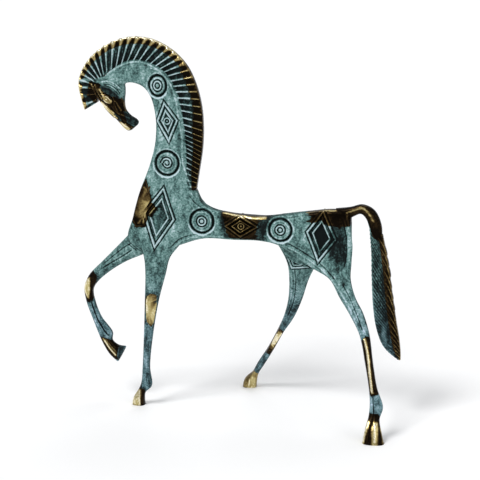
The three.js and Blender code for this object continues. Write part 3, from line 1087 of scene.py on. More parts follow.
@dataclass(frozen=True)
class Ring:
    """Concentric rings: a deep groove round a disc, an inner ring and a dot."""

    x: float
    z: float
    radius_x: float
    radius_z: float
    side: Side = Side.NEAR
    span: tuple[float, float] = (0.8, 60.0)
    spiral: bool = False

    def _radii(self, flat: Array) -> tuple[Array, Array, Array]:
        """The distance from the middle, the same wound for a spiral, and the height up."""
        across, up = (flat[:, 0] - self.x) / self.radius_x, (flat[:, 1] - self.z) / self.radius_z
        r = np.hypot(across, up) * self.radius
        turn = np.arctan2(up, across) / (2 * np.pi) * (1.1 if self.spiral else 0.0)
        return r, r - turn, up

    @property
    def radius(self) -> float:
        """The mean radius."""
        return (self.radius_x + self.radius_z) / 2

    def height(self, flat: Array) -> Array:
        """The carved height in millimetres at each place."""
        r, wound, _ = self._radii(flat)
        lip = 0.25 * bump(r - (self.radius + 0.75), 0.45)
        groove = -1.25 * bump(r - (self.radius - 0.2), 0.72)
        rim = 0.16 * bump(r - (self.radius - 1.4), 0.4)
        if self.side is Side.OFF:
            return lip + groove + rim + 0.3 * bump(r, 0.9)
        inner = 0.26 * bump(wound - 1.95, 0.34) - 0.5 * bump(wound - 2.65, 0.36)
        return lip + groove + rim + inner - 0.42 * bump(wound - 1.2, 0.3) + 0.2 * bump(r, 0.5)

    def paint(self, coat: Coat, near: Array, share: Array) -> None:
        """Lays painted shade in the grooves and a painted highlight on the lower lip, where light
        from above falls.

        Args:
            coat: The coat to paint on.
            near: Which points may take it.
            share: How much each of them takes.
        """
        r, wound, up = self._radii(coat.points[near][:, ::2])
        low = smoothstep(-0.25, -0.85, up)
        # Painted shade in the deep groove, and a painted highlight on the lower outer lip.
        coat.lay_at(near, share * bump(r - (self.radius - 0.15), 0.62), Look.BLACK, 0.95)
        coat.lay_at(near, share * low * bump(r - (self.radius + 0.85), 0.5), Look.WHITE_HIGHLIGHT)
        if self.side is Side.NEAR:
            # Painted shade in the inner grooves and a painted highlight on the inner raised ring.
            coat.lay_at(near, share * bump(wound - 2.65, 0.34), Look.BLACK, 0.75)
            coat.lay_at(near, share * bump(wound - 1.95, 0.3), Look.PALE, 0.8)
            coat.lay_at(near, share * bump(wound - 1.2, 0.26), Look.BLACK, 0.7)


@dataclass(frozen=True)
class Lozenge:
    """A raised diamond outline with a second one inside, sunk between and within."""

    corners: tuple[Corner, Corner, Corner, Corner]
    inner: float = 2.3
    heart: bool = False
    side: Side = Side.NEAR
    span: tuple[float, float] = (0.8, 60.0)
    depth: float = 0.55

    def height(self, flat: Array) -> Array:
        """The carved height in millimetres at each place."""
        d = inset(self.corners, flat)
        sunk = smoothstep(0.35, 0.8, d)
        outline = 0.42 * bump(d, 0.36) - 0.42 * bump(d + 0.85, 0.4) - self.depth * sunk
        if self.side is Side.OFF:
            return outline + 0.3 * smoothstep(self.inner - 0.4, self.inner + 0.6, d)
        second = (self.depth + 0.3) * bump(d - self.inner, 0.36) - 0.22 * bump(d - 0.95, 0.3)
        core = -0.28 * smoothstep(self.inner + 0.3, self.inner + 0.8, d)
        if self.heart:
            r = self._from_centre(flat)
            core = core + 0.6 * bump(r - 1.5, 0.34) - 0.2 * bump(r - 0.8, 0.3) + 0.3 * bump(r, 0.35)
        return outline + second + core

    def _from_centre(self, flat: Array) -> Array:
        """How far each place lies from the middle of the lozenge."""
        return np.hypot(*(flat - np.mean(self.corners, axis=0)).T)

    def paint(self, coat: Coat, near: Array, share: Array) -> None:
        """Lays painted highlights on the raised lines, most at the lower tip, and painted shade in
        the grooves.

        Args:
            coat: The coat to paint on.
            near: Which points may take it.
            share: How much each of them takes.
        """
        flat = coat.points[near][:, ::2]
        d = inset(self.corners, flat)
        lines = bump(d, 0.28) + bump(d - self.inner, 0.26)
        grooves = 0.8 * bump(d + 0.85, 0.4) + bump(d - 0.8, 0.36)
        if self.heart:
            r = self._from_centre(flat)
            lines, grooves = lines + bump(r - 1.5, 0.3), grooves + bump(r - 0.8, 0.26)
        # Painted highlight on the raised lines and painted shade in the grooves.
        coat.tone[near] += share * (0.35 * lines - 0.55 * grooves)
        low, high = min(z for _, z in self.corners), max(z for _, z in self.corners)
        tip = smoothstep(low + 0.26 * (high - low), low + 0.10 * (high - low), flat[:, 1])
        green = 1.0 - coat.bare[near]
        # Painted blue-white highlight at the lower tip.
        coat.lay_at(near, share * green * tip * bump(d + 0.1, 0.5), Look.WHITE_HIGHLIGHT)


@dataclass(frozen=True)
class Stroke:
    """A raised or engraved line along places given as x and z."""

    places: tuple[Corner, ...]
    height_mm: float
    width: float
    side: Side | None = Side.NEAR
    span: tuple[float, float] = (-60.0, 60.0)
    fade: float = 1.2

    def height(self, flat: Array) -> Array:
        """The line's height at each place, tapering at both ends."""
        gap, near_end = distance_to(self.places, flat, 3 * self.width)
        taper = 0.25 + 0.75 * smoothstep(0.0, self.fade, near_end)
        return self.height_mm * taper * bump(gap, self.width)


@dataclass(frozen=True)
class Facet:
    """A spot ground flat on the near side, as a convex outline."""

    corners: tuple[Corner, ...]
    depth: float
    y_range: tuple[float, float] = (-60.0, 60.0)

    def grind(self, skin_: Skin, normals: Array) -> None:
        """Cuts the spot flat.

        Args:
            skin_: The skin to cut.
            normals: Its outward directions.
        """
        flat = skin_.points[:, ::2]
        low, high = self.y_range
        y = skin_.points[:, 1]
        picked = (inset(self.corners, flat) > 0) & (normals[:, 1] < -0.3) & (y > low) & (y < high)
        if picked.sum() < 12:
            return
        plan = np.column_stack([np.ones(picked.sum()), flat[picked]])
        plane = plan @ np.linalg.lstsq(plan, y[picked], rcond=None)[0] + self.depth
        skin_.points[picked, 1] = np.maximum(y[picked], plane)


Carved = Ring | Lozenge | Stroke


@dataclass
class Ornament:
    """Everything that is raised on or cut into the sides of the casting."""

    rings: tuple[tuple[float, float, float, float], ...] = (
        (-40.6, 165.8, 4.5, 5.3),
        (-36.2, 127.3, 6.0, 6.2),
        (-18.6, 98.6, 6.0, 6.1),
        (20.9, 95.7, 5.8, 5.9),
    )
    neck: tuple[Corner, ...] = ((-37.3, 157.1), (-30.9, 148.8), (-35.2, 138.7), (-40.8, 148.3))
    shoulder: tuple[Corner, ...] = ((-38.0, 114.4), (-32.8, 99.0), (-42.8, 84.6), (-48.0, 101.8))
    waist: tuple[Corner, ...] = ((0.8, 101.6), (9.4, 96.8), (0.8, 91.4), (-6.6, 96.6))
    haunch: tuple[Corner, ...] = ((42.2, 105.6), (48.5, 91.8), (40.1, 81.0), (34.4, 95.2))
    off_thigh: tuple[Corner, ...] = ((23.6, 81.6), (28.4, 80.6), (33.4, 76.0), (26.0, 75.0))

    def carvings(self) -> list[Carved]:
        """All carvings of both sides."""
        made: list[Carved] = []
        for side in Side:
            made += [Ring(*ring, side=side, spiral=k == 1) for k, ring in enumerate(self.rings)]
            made += [
                Lozenge(self.neck, 1.9, True, side),
                Lozenge(self.shoulder, 2.5, False, side, depth=0.65),
                Lozenge(self.waist, 1.8, True, side),
                Lozenge(self.haunch, 2.4, False, side, depth=0.75),
            ]
        made.append(Lozenge(self.off_thigh, 1.2, side=Side.NEAR, span=(-30.0, -1.0), depth=0.35))
        return made + self._head_lines() + self._body_lines() + self._leg_lines()

    @staticmethod
    def facets() -> list[Facet]:
        """The spots that are ground flat."""
        return [
            Facet(((-47.9, 57.6), (-45.2, 60.2), (-42.2, 59.4), (-42.4, 47.6), (-45.3, 42.2),
                   (-47.7, 45.4)), 0.35),
            Facet(((-47.4, 118.0), (-44.6, 109.2), (-48.0, 95.6), (-52.0, 95.0), (-54.4, 98.6),
                   (-52.4, 106.8)), 0.30),
            Facet(((17.2, 37.4), (18.6, 35.2), (12.6, 24.6), (10.6, 24.6), (14.4, 33.0)), 0.3,
                  (5.0, 40.0)),
        ]

    @staticmethod
    def _head_lines() -> list[Stroke]:
        """The face: brow, nose, eye, cheek, jaw, mouth and the folds behind the ears."""
        raised = (
            (((-69.2, 167.0), (-65.4, 167.4), (-61.9, 166.0), (-59.2, 163.2)), 0.40, 0.40),
            (((-67.8, 164.9), (-65.0, 164.2), (-62.4, 162.6), (-60.2, 160.2)), 0.45, 0.40),
            (((-74.6, 166.0), (-72.3, 161.4), (-69.9, 157.0), (-66.2, 152.8), (-62.4, 149.2)),
             0.55, 0.55),
            (((-72.6, 165.6), (-70.2, 161.4), (-68.6, 158.8)), 0.40, 0.35),
            (((-68.6, 160.4), (-66.2, 159.9), (-64.2, 158.0)), 0.35, 0.35),
            (((-68.2, 158.6), (-66.6, 157.2), (-64.4, 156.4)), 0.35, 0.35),
            (((-67.0, 158.9), (-65.8, 158.2)), 0.45, 0.60),
            (((-63.2, 159.0), (-60.9, 156.0), (-58.9, 152.6)), 0.40, 0.45),
            (((-60.2, 148.6), (-57.6, 145.4), (-55.0, 144.6)), 0.35, 0.45),
            (((-59.6, 151.2), (-56.8, 149.8), (-54.6, 148.8)), 0.30, 0.40),
        )
        engraved = (
            (((-68.4, 166.0), (-64.8, 165.8), (-61.4, 163.8), (-59.4, 161.2)), -0.45, 0.36),
            (((-73.4, 164.6), (-71.1, 160.4), (-69.0, 157.2), (-66.4, 155.0)), -0.45, 0.32),
            (((-69.6, 161.4), (-66.4, 161.2), (-63.2, 158.6), (-63.4, 156.0)), -0.50, 0.36),
            (((-68.6, 157.6), (-66.6, 156.2), (-64.4, 155.4)), -0.35, 0.32),
            (((-62.0, 157.6), (-61.2, 154.6), (-59.8, 151.6)), -0.50, 0.40),
            (((-64.6, 154.8), (-62.2, 151.8), (-59.6, 149.8)), -0.45, 0.40),
            (((-57.0, 146.9), (-54.8, 145.6), (-52.8, 144.4)), -0.50, 0.32),
            (((-59.4, 148.0), (-58.0, 147.2)), -0.45, 0.40),
        )
        return [Stroke(p, h, w, None, fade=0.6) for p, h, w in (*raised, *engraved)]

    @staticmethod
    def _body_lines() -> list[Stroke]:
        """The line under the crest, the bevelled edges of the back, belly and rump."""
        arc = ((-67.8, 169.6), (-63.6, 172.6), (-56.8, 176.2), (-49.2, 177.2), (-42.0, 174.6),
               (-37.3, 170.9), (-33.9, 165.9), (-31.6, 158.8), (-30.1, 149.1), (-28.6, 139.2),
               (-28.3, 129.2), (-26.4, 121.5), (-23.8, 115.0))
        fold = ((-44.7, 174.6), (-40.6, 173.4), (-37.0, 170.2), (-35.2, 166.0))
        rump = ((53.4, 104.6), (54.6, 100.1), (55.4, 92.1), (55.6, 84.5), (54.6, 77.4))
        rump_groove = ((51.4, 103.4), (52.6, 99.0), (53.9, 92.1), (54.1, 84.8), (53.2, 78.4))
        back = ((-24.6, 113.2), (-21.2, 109.0), (-16.2, 105.9), (-10.4, 104.4))
        back_groove = ((-25.2, 111.6), (-21.8, 107.6), (-16.6, 104.5), (-10.6, 103.2))
        croup = ((14.0, 101.9), (22.0, 102.9), (30.0, 104.2), (38.0, 105.6))
        croup_groove = ((14.6, 100.6), (22.4, 101.6), (30.2, 102.9))
        belly = ((-34.2, 82.6), (-30.0, 87.4), (-23.5, 90.1), (-13.4, 91.0), (-6.0, 91.0))
        belly_groove = ((-34.8, 84.4), (-30.0, 89.0), (-23.5, 91.5), (-13.4, 92.3))
        both = ((arc, 0.36, 0.5), (fold, 0.28, 0.4), (rump, 0.30, 0.55), (rump_groove, -0.4, 0.45),
                (back, 0.22, 0.45), (back_groove, -0.28, 0.4), (croup, 0.24, 0.45),
                (croup_groove, -0.28, 0.4), (belly, 0.22, 0.45), (belly_groove, -0.25, 0.4))
        chest = ((-44.6, 137.0), (-46.4, 126.0), (-49.6, 118.6))
        return [Stroke(p, h, w, None) for p, h, w in both] + [
            Stroke(chest, 0.2, 0.45, None),
        ]

    @staticmethod
    def _leg_lines() -> list[Stroke]:
        """Bevels, ridges and grooves that run down the legs."""
        thigh = ((22.4, 88.4), (31.2, 83.9), (40.3, 78.4), (47.2, 72.8), (52.8, 66.4), (58.6, 57.4),
                 (63.0, 48.6))
        thigh_groove = ((24.6, 89.2), (33.2, 84.6), (42.2, 79.0), (49.4, 72.6))
        near = (
            (thigh, 0.36, 0.6),
            (thigh_groove, -0.42, 0.45),
            (((53.0, 71.0), (57.2, 64.4), (61.0, 57.0), (64.2, 49.6)), -0.32, 0.34),
            (((64.6, 47.0), (66.7, 40.7), (68.4, 31.5), (70.2, 22.6)), 0.42, 0.55),
            (((70.8, 20.4), (71.4, 14.2), (71.2, 7.8)), -0.30, 0.36),
            (((72.4, 9.4), (72.6, 4.6), (72.8, 0.6)), 0.40, 0.60),
            (((69.4, 11.6), (68.0, 5.4), (67.4, 0.6)), 0.25, 0.45),
            (((70.6, 9.4), (70.0, 4.8), (69.8, 0.6)), -0.35, 0.45),
            (((74.6, 9.2), (75.2, 4.8), (75.6, 0.6)), -0.35, 0.45),
        )
        raised = (
            (((-72.3, 70.2), (-67.1, 73.8), (-60.2, 78.2), (-55.1, 81.9)), -0.45, 0.42),
            (((-71.2, 73.0), (-65.6, 77.8), (-59.6, 82.7), (-55.0, 85.6)), -0.32, 0.36),
            (((-57.6, 84.9), (-55.3, 83.2), (-52.4, 81.2)), -0.30, 0.34),
            (((-79.6, 51.4), (-76.8, 42.8), (-73.2, 36.4), (-71.2, 33.6)), -0.42, 0.36),
            (((-81.0, 50.4), (-78.2, 41.9), (-74.8, 35.6)), 0.22, 0.36),
            (((-82.2, 62.6), (-82.6, 57.6), (-81.2, 52.8)), 0.28, 0.50),
            (((-73.4, 31.2), (-70.2, 26.6), (-66.4, 22.6)), 0.28, 0.50),
            (((-71.6, 31.0), (-68.8, 27.6), (-65.8, 25.0)), -0.32, 0.40),
            (((-65.2, 27.0), (-65.9, 21.8)), 0.30, 0.40),
        )
        fore = (
            (((-46.2, 40.2), (-46.9, 30.2), (-47.6, 20.5), (-48.2, 12.4)), -0.20, 0.30),
            (((-51.6, 9.4), (-51.4, 4.6), (-51.2, 0.6)), -0.34, 0.36),
        )
        off = (
            (((24.9, 77.4), (25.6, 67.8), (24.2, 56.5), (20.4, 46.2), (16.6, 38.6)), 0.34, 0.50),
            (((27.2, 75.0), (27.5, 66.8), (25.8, 55.5), (21.9, 45.8)), -0.34, 0.36),
            (((10.2, 23.4), (6.2, 16.8), (3.4, 11.6)), -0.22, 0.30),
            (((-0.6, 6.0), (-1.0, 3.0), (-1.4, 0.6)), 0.25, 0.50),
        )
        return (
            [Stroke(p, h, w, span=(-2.0, 60.0)) for p, h, w in (*near, *fore)]
            + [Stroke(p, h, w) for p, h, w in raised]
            + [Stroke(p, h, w, span=(-60.0, -1.0)) for p, h, w in off]
        )


# The finish


class Look(Enum):
    """What shows at a place: how bare the metal is, how polished it is, and the patina's tone,
    which also carries painted shade and painted highlights.
    """

    GOLD = (1.0, 0.84, 0.0)
    OLD_GOLD = (1.0, 0.50, 0.0)
    BRONZE = (1.0, -0.04, -0.6)
    PALE = (0.0, 0.0, 0.40)
    DARK = (0.0, 0.0, -0.45)
    BLACK = (0.0, 0.0, -1.1)
    # A painted blue-white highlight, not a colour of the patina.
    WHITE_HIGHLIGHT = (0.0, 0.0, 0.85)


@dataclass
class Coat:
    """The numbers painted on the skin: bare metal, polish and tone, point by point; the tone also
    holds painted shade and painted highlights.
    """

    points: Array
    normals: Array
    bare: Array
    polish: Array
    tone: Array

    def lay(self, share: Array, look: Look, strength: float = 1.0) -> None:
        """Lays a look over what is there.

        Args:
            share: How much of it each point takes, from 0 to 1.
            look: The look.
            strength: How thickly it goes on.
        """
        self.lay_at(slice(None), share, look, strength)

    def lay_at(
        self, picked: Array | slice, share: Array, look: Look, strength: float = 1.0,
    ) -> None:
        """Lays a look over some of the points.

        Args:
            picked: Which points.
            share: How much of it each of them takes, from 0 to 1.
            look: The look.
            strength: How thickly it goes on.
        """
        held = np.clip(share, 0.0, 1.0) * strength
        for values, wanted in zip((self.bare, self.polish, self.tone), look.value):
            values[picked] += held * (wanted - values[picked])


@dataclass(frozen=True)
class Outline:
    """A convex shape seen from the side."""

    corners: tuple[Corner, ...]

    def depth(self, flat: Array) -> Array:
        """How far inside each place lies."""
        return inset(self.corners, flat)


@dataclass(frozen=True)
class Streak:
    """A streak of even width along a line seen from the side."""

    places: tuple[Corner, ...]
    half_width: float

    def depth(self, flat: Array) -> Array:
        """How far inside each place lies."""
        gap, _ = distance_to(self.places, flat, self.half_width + 2.0)
        return self.half_width - np.minimum(gap, 99.0)


@dataclass(frozen=True)
class Patch:
    """A place where the finish differs, with the side and the depth that it keeps to."""

    look: Look
    shape: Outline | Streak
    strength: float = 1.0
    soft: float = 0.25
    side: Side | None = Side.NEAR
    facing: float = -0.5
    y_range: tuple[float, float] = (-60.0, 60.0)

    def lay(self, coat: Coat) -> None:
        """Paints the patch."""
        share = smoothstep(-self.soft, self.soft, self.shape.depth(coat.points[:, ::2]))
        y = coat.points[:, 1]
        share = share * ((y > self.y_range[0]) & (y < self.y_range[1]))
        if self.side is not None:
            turned = coat.normals[:, 1] * self.side.value
            share = share * smoothstep(self.facing - 0.15, self.facing + 0.15, turned)
        coat.lay(share, self.look, self.strength)


@dataclass
class WearAndHighlights:
    """Where the patina is rubbed to metal, burnt dark or left pale, and where a painted highlight
    is laid.
    """

    off_leg: tuple[float, float] = (5.0, 60.0)

    def patches(self) -> list[Patch]:
        """All patches, in the order they go on."""
        return [*self._body(), *self._head(), *self._forelegs(), *self._hind_legs()]

    @staticmethod
    def _body() -> list[Patch]:
        """The chest, the waist, the croup, the rump and the tail's stalk."""
        bronze, gold, old, black, dark = (
            Look.BRONZE, Look.GOLD, Look.OLD_GOLD, Look.BLACK, Look.DARK)
        rump = Outline(((46.0, 102.0), (52.4, 102.6), (53.8, 92.0), (53.9, 80.0), (50.6, 76.4),
                        (41.0, 77.8), (46.4, 88.0)))
        return [
            Patch(Look.PALE, Streak(((-63.8, 169.4), (-57.0, 173.0), (-49.5, 174.2),
                                     (-43.5, 171.5)), 3.6), 0.4, 3.0),
            Patch(Look.PALE, Outline(((-39.0, 109.0), (-36.0, 99.0), (-42.0, 90.0),
                                      (-45.0, 101.0))), 0.6, 0.6),
            Patch(dark, rump, 0.9, 1.6),
            Patch(black, Outline(((46.4, 101.6), (53.2, 101.6), (53.6, 92.0), (53.6, 82.0),
                                  (49.8, 80.0), (44.6, 87.0))), 0.9, 0.8),
            Patch(Look.PALE, Outline(((54.4, 101.0), (56.8, 101.0), (57.0, 79.5), (54.6, 80.5))),
                  0.5, 0.3),
            Patch(black, Outline(((-9.8, 104.4), (-7.6, 90.2), (12.6, 90.0), (16.0, 102.8),
                                  (0.8, 103.6))), 0.9, 0.8, None),
            Patch(bronze, Outline(((-9.2, 104.4), (-5.0, 90.4), (11.4, 90.0), (13.4, 102.8),
                                   (0.8, 103.6))), 1.0, 0.4, None),
            Patch(black, Outline(((9.8, 100.6), (14.6, 100.8), (13.8, 90.4), (8.4, 90.4))), 0.9,
                  0.6, None),
            Patch(old, Outline(((0.8, 99.2), (5.4, 96.7), (0.8, 93.4), (-3.4, 96.5))), 0.5, 0.4),
            Patch(old, Streak(((-7.6, 102.4), (0.7, 100.6), (8.7, 99.9), (13.6, 100.2)), 1.3),
                  0.35, 0.9, facing=0.05),
            Patch(gold, Streak(((-7.6, 103.2), (0.7, 101.6), (8.7, 101.0), (13.8, 101.4)), 0.5),
                  1.0, 0.2, facing=0.05),
            Patch(bronze, Outline(((33.6, 107.4), (36.2, 99.6), (41.0, 101.0), (43.0, 108.0))),
                  1.0, 0.7, None),
            Patch(bronze, Outline(((40.0, 108.0), (42.0, 99.4), (48.2, 98.2), (55.6, 98.6),
                                   (57.0, 108.0))), 1.0, 0.7, None),
            Patch(black, Outline(((42.0, 100.8), (44.4, 92.2), (40.8, 84.8), (37.8, 94.4))), 1.0,
                  0.3),
            Patch(gold, Streak(((33.6, 104.6), (42.1, 105.9), (54.0, 105.9)), 0.30), 1.0, 0.2,
                  facing=0.05),
            Patch(bronze, Streak(((52.0, 104.6), (57.6, 106.4), (62.0, 107.0), (66.4, 103.6),
                                  (69.6, 95.4)), 3.6), 1.0, 0.7, None),
            Patch(old, Streak(((55.0, 104.8), (58.2, 106.2), (61.6, 107.2), (65.4, 104.4),
                               (67.8, 99.4)), 1.2), 0.3, 0.9, y_range=(-60.0, 0.0)),
            Patch(gold, Streak(((53.7, 105.3), (58.1, 106.9), (61.5, 107.7), (64.4, 105.2),
                                (66.1, 101.8)), 0.40), 0.95, 0.3, y_range=(-60.0, 0.0)),
            Patch(bronze, Outline(((-47.0, 119.6), (-43.9, 109.2), (-47.2, 94.6), (-52.2, 93.8),
                                   (-55.6, 98.0), (-53.2, 108.0))), 1.0, 0.3, None),
            Patch(old, Outline(((-47.4, 117.6), (-44.9, 109.4), (-48.3, 96.2), (-51.8, 95.8),
                                (-53.4, 99.0), (-51.6, 107.0))), 1.0, 0.45),
            Patch(gold, Streak(((-47.4, 114.6), (-48.2, 107.0), (-50.4, 98.4)), 0.7), 0.35, 0.6),
            Patch(bronze, Outline(((-46.8, 103.6), (-43.8, 107.4), (-40.9, 104.1), (-44.2, 99.4),
                                   (-46.8, 101.0))), 0.9, 0.5),
            Patch(old, Outline(((-46.0, 103.0), (-43.8, 106.2), (-41.9, 103.9), (-44.4, 100.4))),
                  0.9, 0.4),
        ]

    @staticmethod
    def _head() -> list[Patch]:
        """The face, the muzzle and the forelock."""
        bronze, gold, old, black = Look.BRONZE, Look.GOLD, Look.OLD_GOLD, Look.BLACK
        face = Outline(((-75.6, 167.0), (-70.0, 166.4), (-63.0, 161.4), (-58.6, 158.0),
                        (-50.6, 150.0), (-50.4, 144.0), (-57.0, 141.6), (-77.0, 160.0)))
        return [
            Patch(black, Outline(((-79.4, 163.4), (-73.2, 163.6), (-71.4, 159.8), (-78.6, 159.4))),
                  0.95, 0.4),
            # Painted highlight: a white glint along the top rib of the forelock.
            Patch(Look.WHITE_HIGHLIGHT, Streak(((-80.0, 166.9), (-77.2, 167.7), (-74.1, 167.8)), 0.8), 0.9,
                  0.5),
            Patch(bronze, face, 1.0, 0.9, None),
            Patch(black, Outline(((-70.1, 164.8), (-66.5, 165.8), (-61.0, 162.4), (-60.3, 159.2),
                                  (-64.8, 160.2), (-68.3, 162.6))), 0.95, 0.5, None),
            Patch(gold, Streak(((-74.1, 165.6), (-71.2, 161.5), (-69.0, 158.6)), 0.28), 0.9, 0.25,
                  None),
            Patch(old, Streak(((-72.1, 165.5), (-70.2, 162.6)), 0.30), 0.9, 0.3, None),
            Patch(gold, Streak(((-69.8, 163.4), (-68.7, 161.1), (-67.6, 159.3)), 0.42), 1.0, 0.3,
                  None),
            Patch(gold, Streak(((-69.0, 156.3), (-66.2, 153.6), (-63.2, 150.9), (-61.6, 149.4)),
                               0.85), 1.0, 0.25, None),
            Patch(black, Streak(((-62.4, 150.9), (-60.9, 149.8), (-59.7, 147.8)), 0.55), 0.9, 0.3,
                  None),
            Patch(gold, Outline(((-61.0, 148.7), (-59.3, 148.8), (-57.0, 146.2), (-54.2, 145.2),
                                 (-55.2, 143.0), (-57.4, 142.9), (-60.2, 145.6))), 1.0, 0.25,
                  None),
            Patch(gold, Outline(((-68.8, 159.8), (-66.1, 160.2), (-63.6, 157.8), (-64.1, 156.5),
                                 (-67.2, 156.9))), 0.85, 0.3, None),
            Patch(old, Streak(((-59.0, 159.3), (-58.0, 155.4), (-57.1, 151.9)), 0.35), 0.8, 0.4,
                  None),
            Patch(black, Outline(((-58.2, 152.6), (-54.0, 151.2), (-50.4, 149.2), (-50.9, 145.6),
                                  (-53.6, 144.8), (-56.2, 146.8))), 0.97, 0.5, None),
        ]

    @staticmethod
    def _forelegs() -> list[Patch]:
        """The ground spots, the knee and the hooves of the forelegs."""
        bronze, gold, old, black, dark = (
            Look.BRONZE, Look.GOLD, Look.OLD_GOLD, Look.BLACK, Look.DARK)
        spot = ((-47.9, 57.6), (-45.2, 60.2), (-42.2, 59.4), (-42.4, 47.6), (-45.3, 42.2),
                (-47.7, 45.4))
        wide = ((-48.8, 57.8), (-45.2, 61.0), (-41.4, 60.2), (-41.8, 47.2), (-45.2, 40.6),
                (-48.8, 44.8))
        return [
            Patch(dark, Streak(((-54.0, 86.0), (-62.0, 80.0), (-71.0, 71.0)), 4.0), 0.35, 2.0),
            Patch(black, Outline(wide), 0.9, 0.3),
            Patch(gold, Outline(spot), 1.0, 0.12),
            Patch(dark, Streak(((-40.6, 64.8), (-42.4, 51.6), (-44.8, 38.3), (-46.1, 24.9)), 0.6),
                  0.6, 0.4),
            Patch(dark, Outline(((-51.0, 42.0), (-43.6, 42.0), (-45.0, 10.0), (-53.0, 10.0))),
                  0.45, 1.2, None),
            Patch(black, Streak(((-52.4, 10.8), (-49.6, 8.8)), 0.9), 0.8, 0.6, None),
            Patch(bronze, Outline(((-52.4, 9.4), (-49.2, 8.6), (-48.4, -1.0), (-52.0, -1.0))), 1.0,
                  0.4, None),
            Patch(gold, Outline(((-52.6, 8.4), (-51.2, 8.4), (-51.4, -1.0), (-56.6, -1.0),
                                 (-56.6, 3.0))), 1.0, 0.25, None),
            Patch(bronze, Outline(((-78.6, 69.6), (-75.4, 65.8), (-77.2, 57.7), (-79.0, 50.6),
                                   (-82.0, 51.0), (-84.6, 58.5), (-82.6, 66.0))), 1.0, 0.7, None),
            Patch(gold, Outline(((-82.0, 63.2), (-79.6, 64.6), (-79.8, 57.6), (-80.9, 52.4),
                                 (-82.7, 56.4), (-83.4, 60.1))), 1.0, 0.3, None),
            Patch(black, Streak(((-79.6, 51.4), (-76.8, 42.8), (-73.2, 36.4), (-70.8, 33.6)), 0.45),
                  0.8, 0.3),
            Patch(bronze, Outline(((-76.0, 33.4), (-70.8, 31.4), (-61.4, 28.8), (-64.6, 20.0),
                                   (-72.0, 22.0))), 1.0, 0.7, None),
            Patch(old, Streak(((-72.0, 30.4), (-68.8, 26.4), (-65.8, 23.6)), 0.9), 0.8, 0.5),
            Patch(gold, Streak(((-73.6, 31.4), (-70.6, 27.0), (-66.8, 22.8)), 0.5), 0.9, 0.4),
            Patch(black, Outline(((-65.4, 28.4), (-61.4, 28.8), (-64.6, 20.0), (-66.6, 21.6))),
                  0.6, 0.5),
        ]

    def _hind_legs(self) -> list[Patch]:
        """The metal stretches and the hooves of the hind legs."""
        bronze, gold, old, black, dark = (
            Look.BRONZE, Look.GOLD, Look.OLD_GOLD, Look.BLACK, Look.DARK)
        near = (-60.0, 0.0)
        off = self.off_leg
        return [
            Patch(black, Outline(((52.4, 72.0), (54.0, 72.4), (53.8, 69.6), (52.6, 69.2))), 0.6,
                  0.5, y_range=near),
            Patch(Look.PALE, Outline(((53.0, 70.0), (57.6, 68.0), (65.6, 50.0), (62.0, 46.4))),
                  0.55, 0.9, y_range=near),
            Patch(bronze, Outline(((62.6, 44.2), (65.5, 47.9), (69.0, 47.0), (72.6, 33.8),
                                   (73.6, 22.0), (69.8, 20.8), (66.0, 25.0))), 1.0, 0.3, None,
                  y_range=near),
            Patch(gold, Streak(((65.3, 46.6), (66.9, 40.7), (68.6, 31.5), (70.2, 22.8)), 0.62),
                  1.0, 0.28, y_range=near),
            Patch(dark, Streak(((71.0, 20.7), (71.7, 14.2), (71.5, 8.8)), 0.7), 0.7, 0.5,
                  y_range=near),
            Patch(bronze, Outline(((69.4, 13.6), (73.8, 13.4), (79.0, 3.0), (79.0, -1.0),
                                   (65.0, -1.0), (65.4, 3.0))), 1.0, 0.6, None, y_range=near),
            Patch(gold, Streak(((72.5, 8.6), (72.7, 4.6), (72.9, 0.2)), 1.5), 1.0, 0.5,
                  y_range=near),
            Patch(gold, Streak(((69.2, 9.6), (67.6, 4.2), (66.9, 0.2)), 0.8), 1.0, 0.4, None,
                  y_range=near),
            Patch(gold, Streak(((75.2, 7.4), (76.4, 3.6), (77.0, 0.2)), 0.5), 0.7, 0.4, None,
                  y_range=near),
            Patch(dark, Outline(((14.0, 40.0), (20.0, 56.0), (30.0, 56.0), (20.0, 33.0),
                                 (16.0, 33.0))), 0.6, 2.5, None, y_range=off),
            Patch(dark, Outline(((0.0, 10.0), (9.0, 24.0), (14.0, 24.0), (5.0, 7.0))), 0.7,
                  1.2, None, y_range=off),
            Patch(bronze, Outline(((16.6, 39.0), (19.6, 36.4), (12.6, 21.0), (8.4, 22.6))), 1.0,
                  0.5, None, y_range=off),
            Patch(gold, Outline(((17.2, 37.2), (18.6, 35.2), (12.6, 24.8), (10.8, 24.8),
                                 (14.4, 33.0))), 1.0, 0.12, y_range=off),
            Patch(old, Outline(((1.6, 10.4), (5.2, 8.2), (3.6, -1.0), (-6.4, -1.0), (-6.4, 3.4))),
                  1.0, 0.4, None, y_range=off),
            Patch(gold, Outline(((0.6, 7.0), (2.4, 6.4), (2.0, -1.0), (-3.6, -1.0))), 0.9, 0.7,
                  y_range=off),
        ]


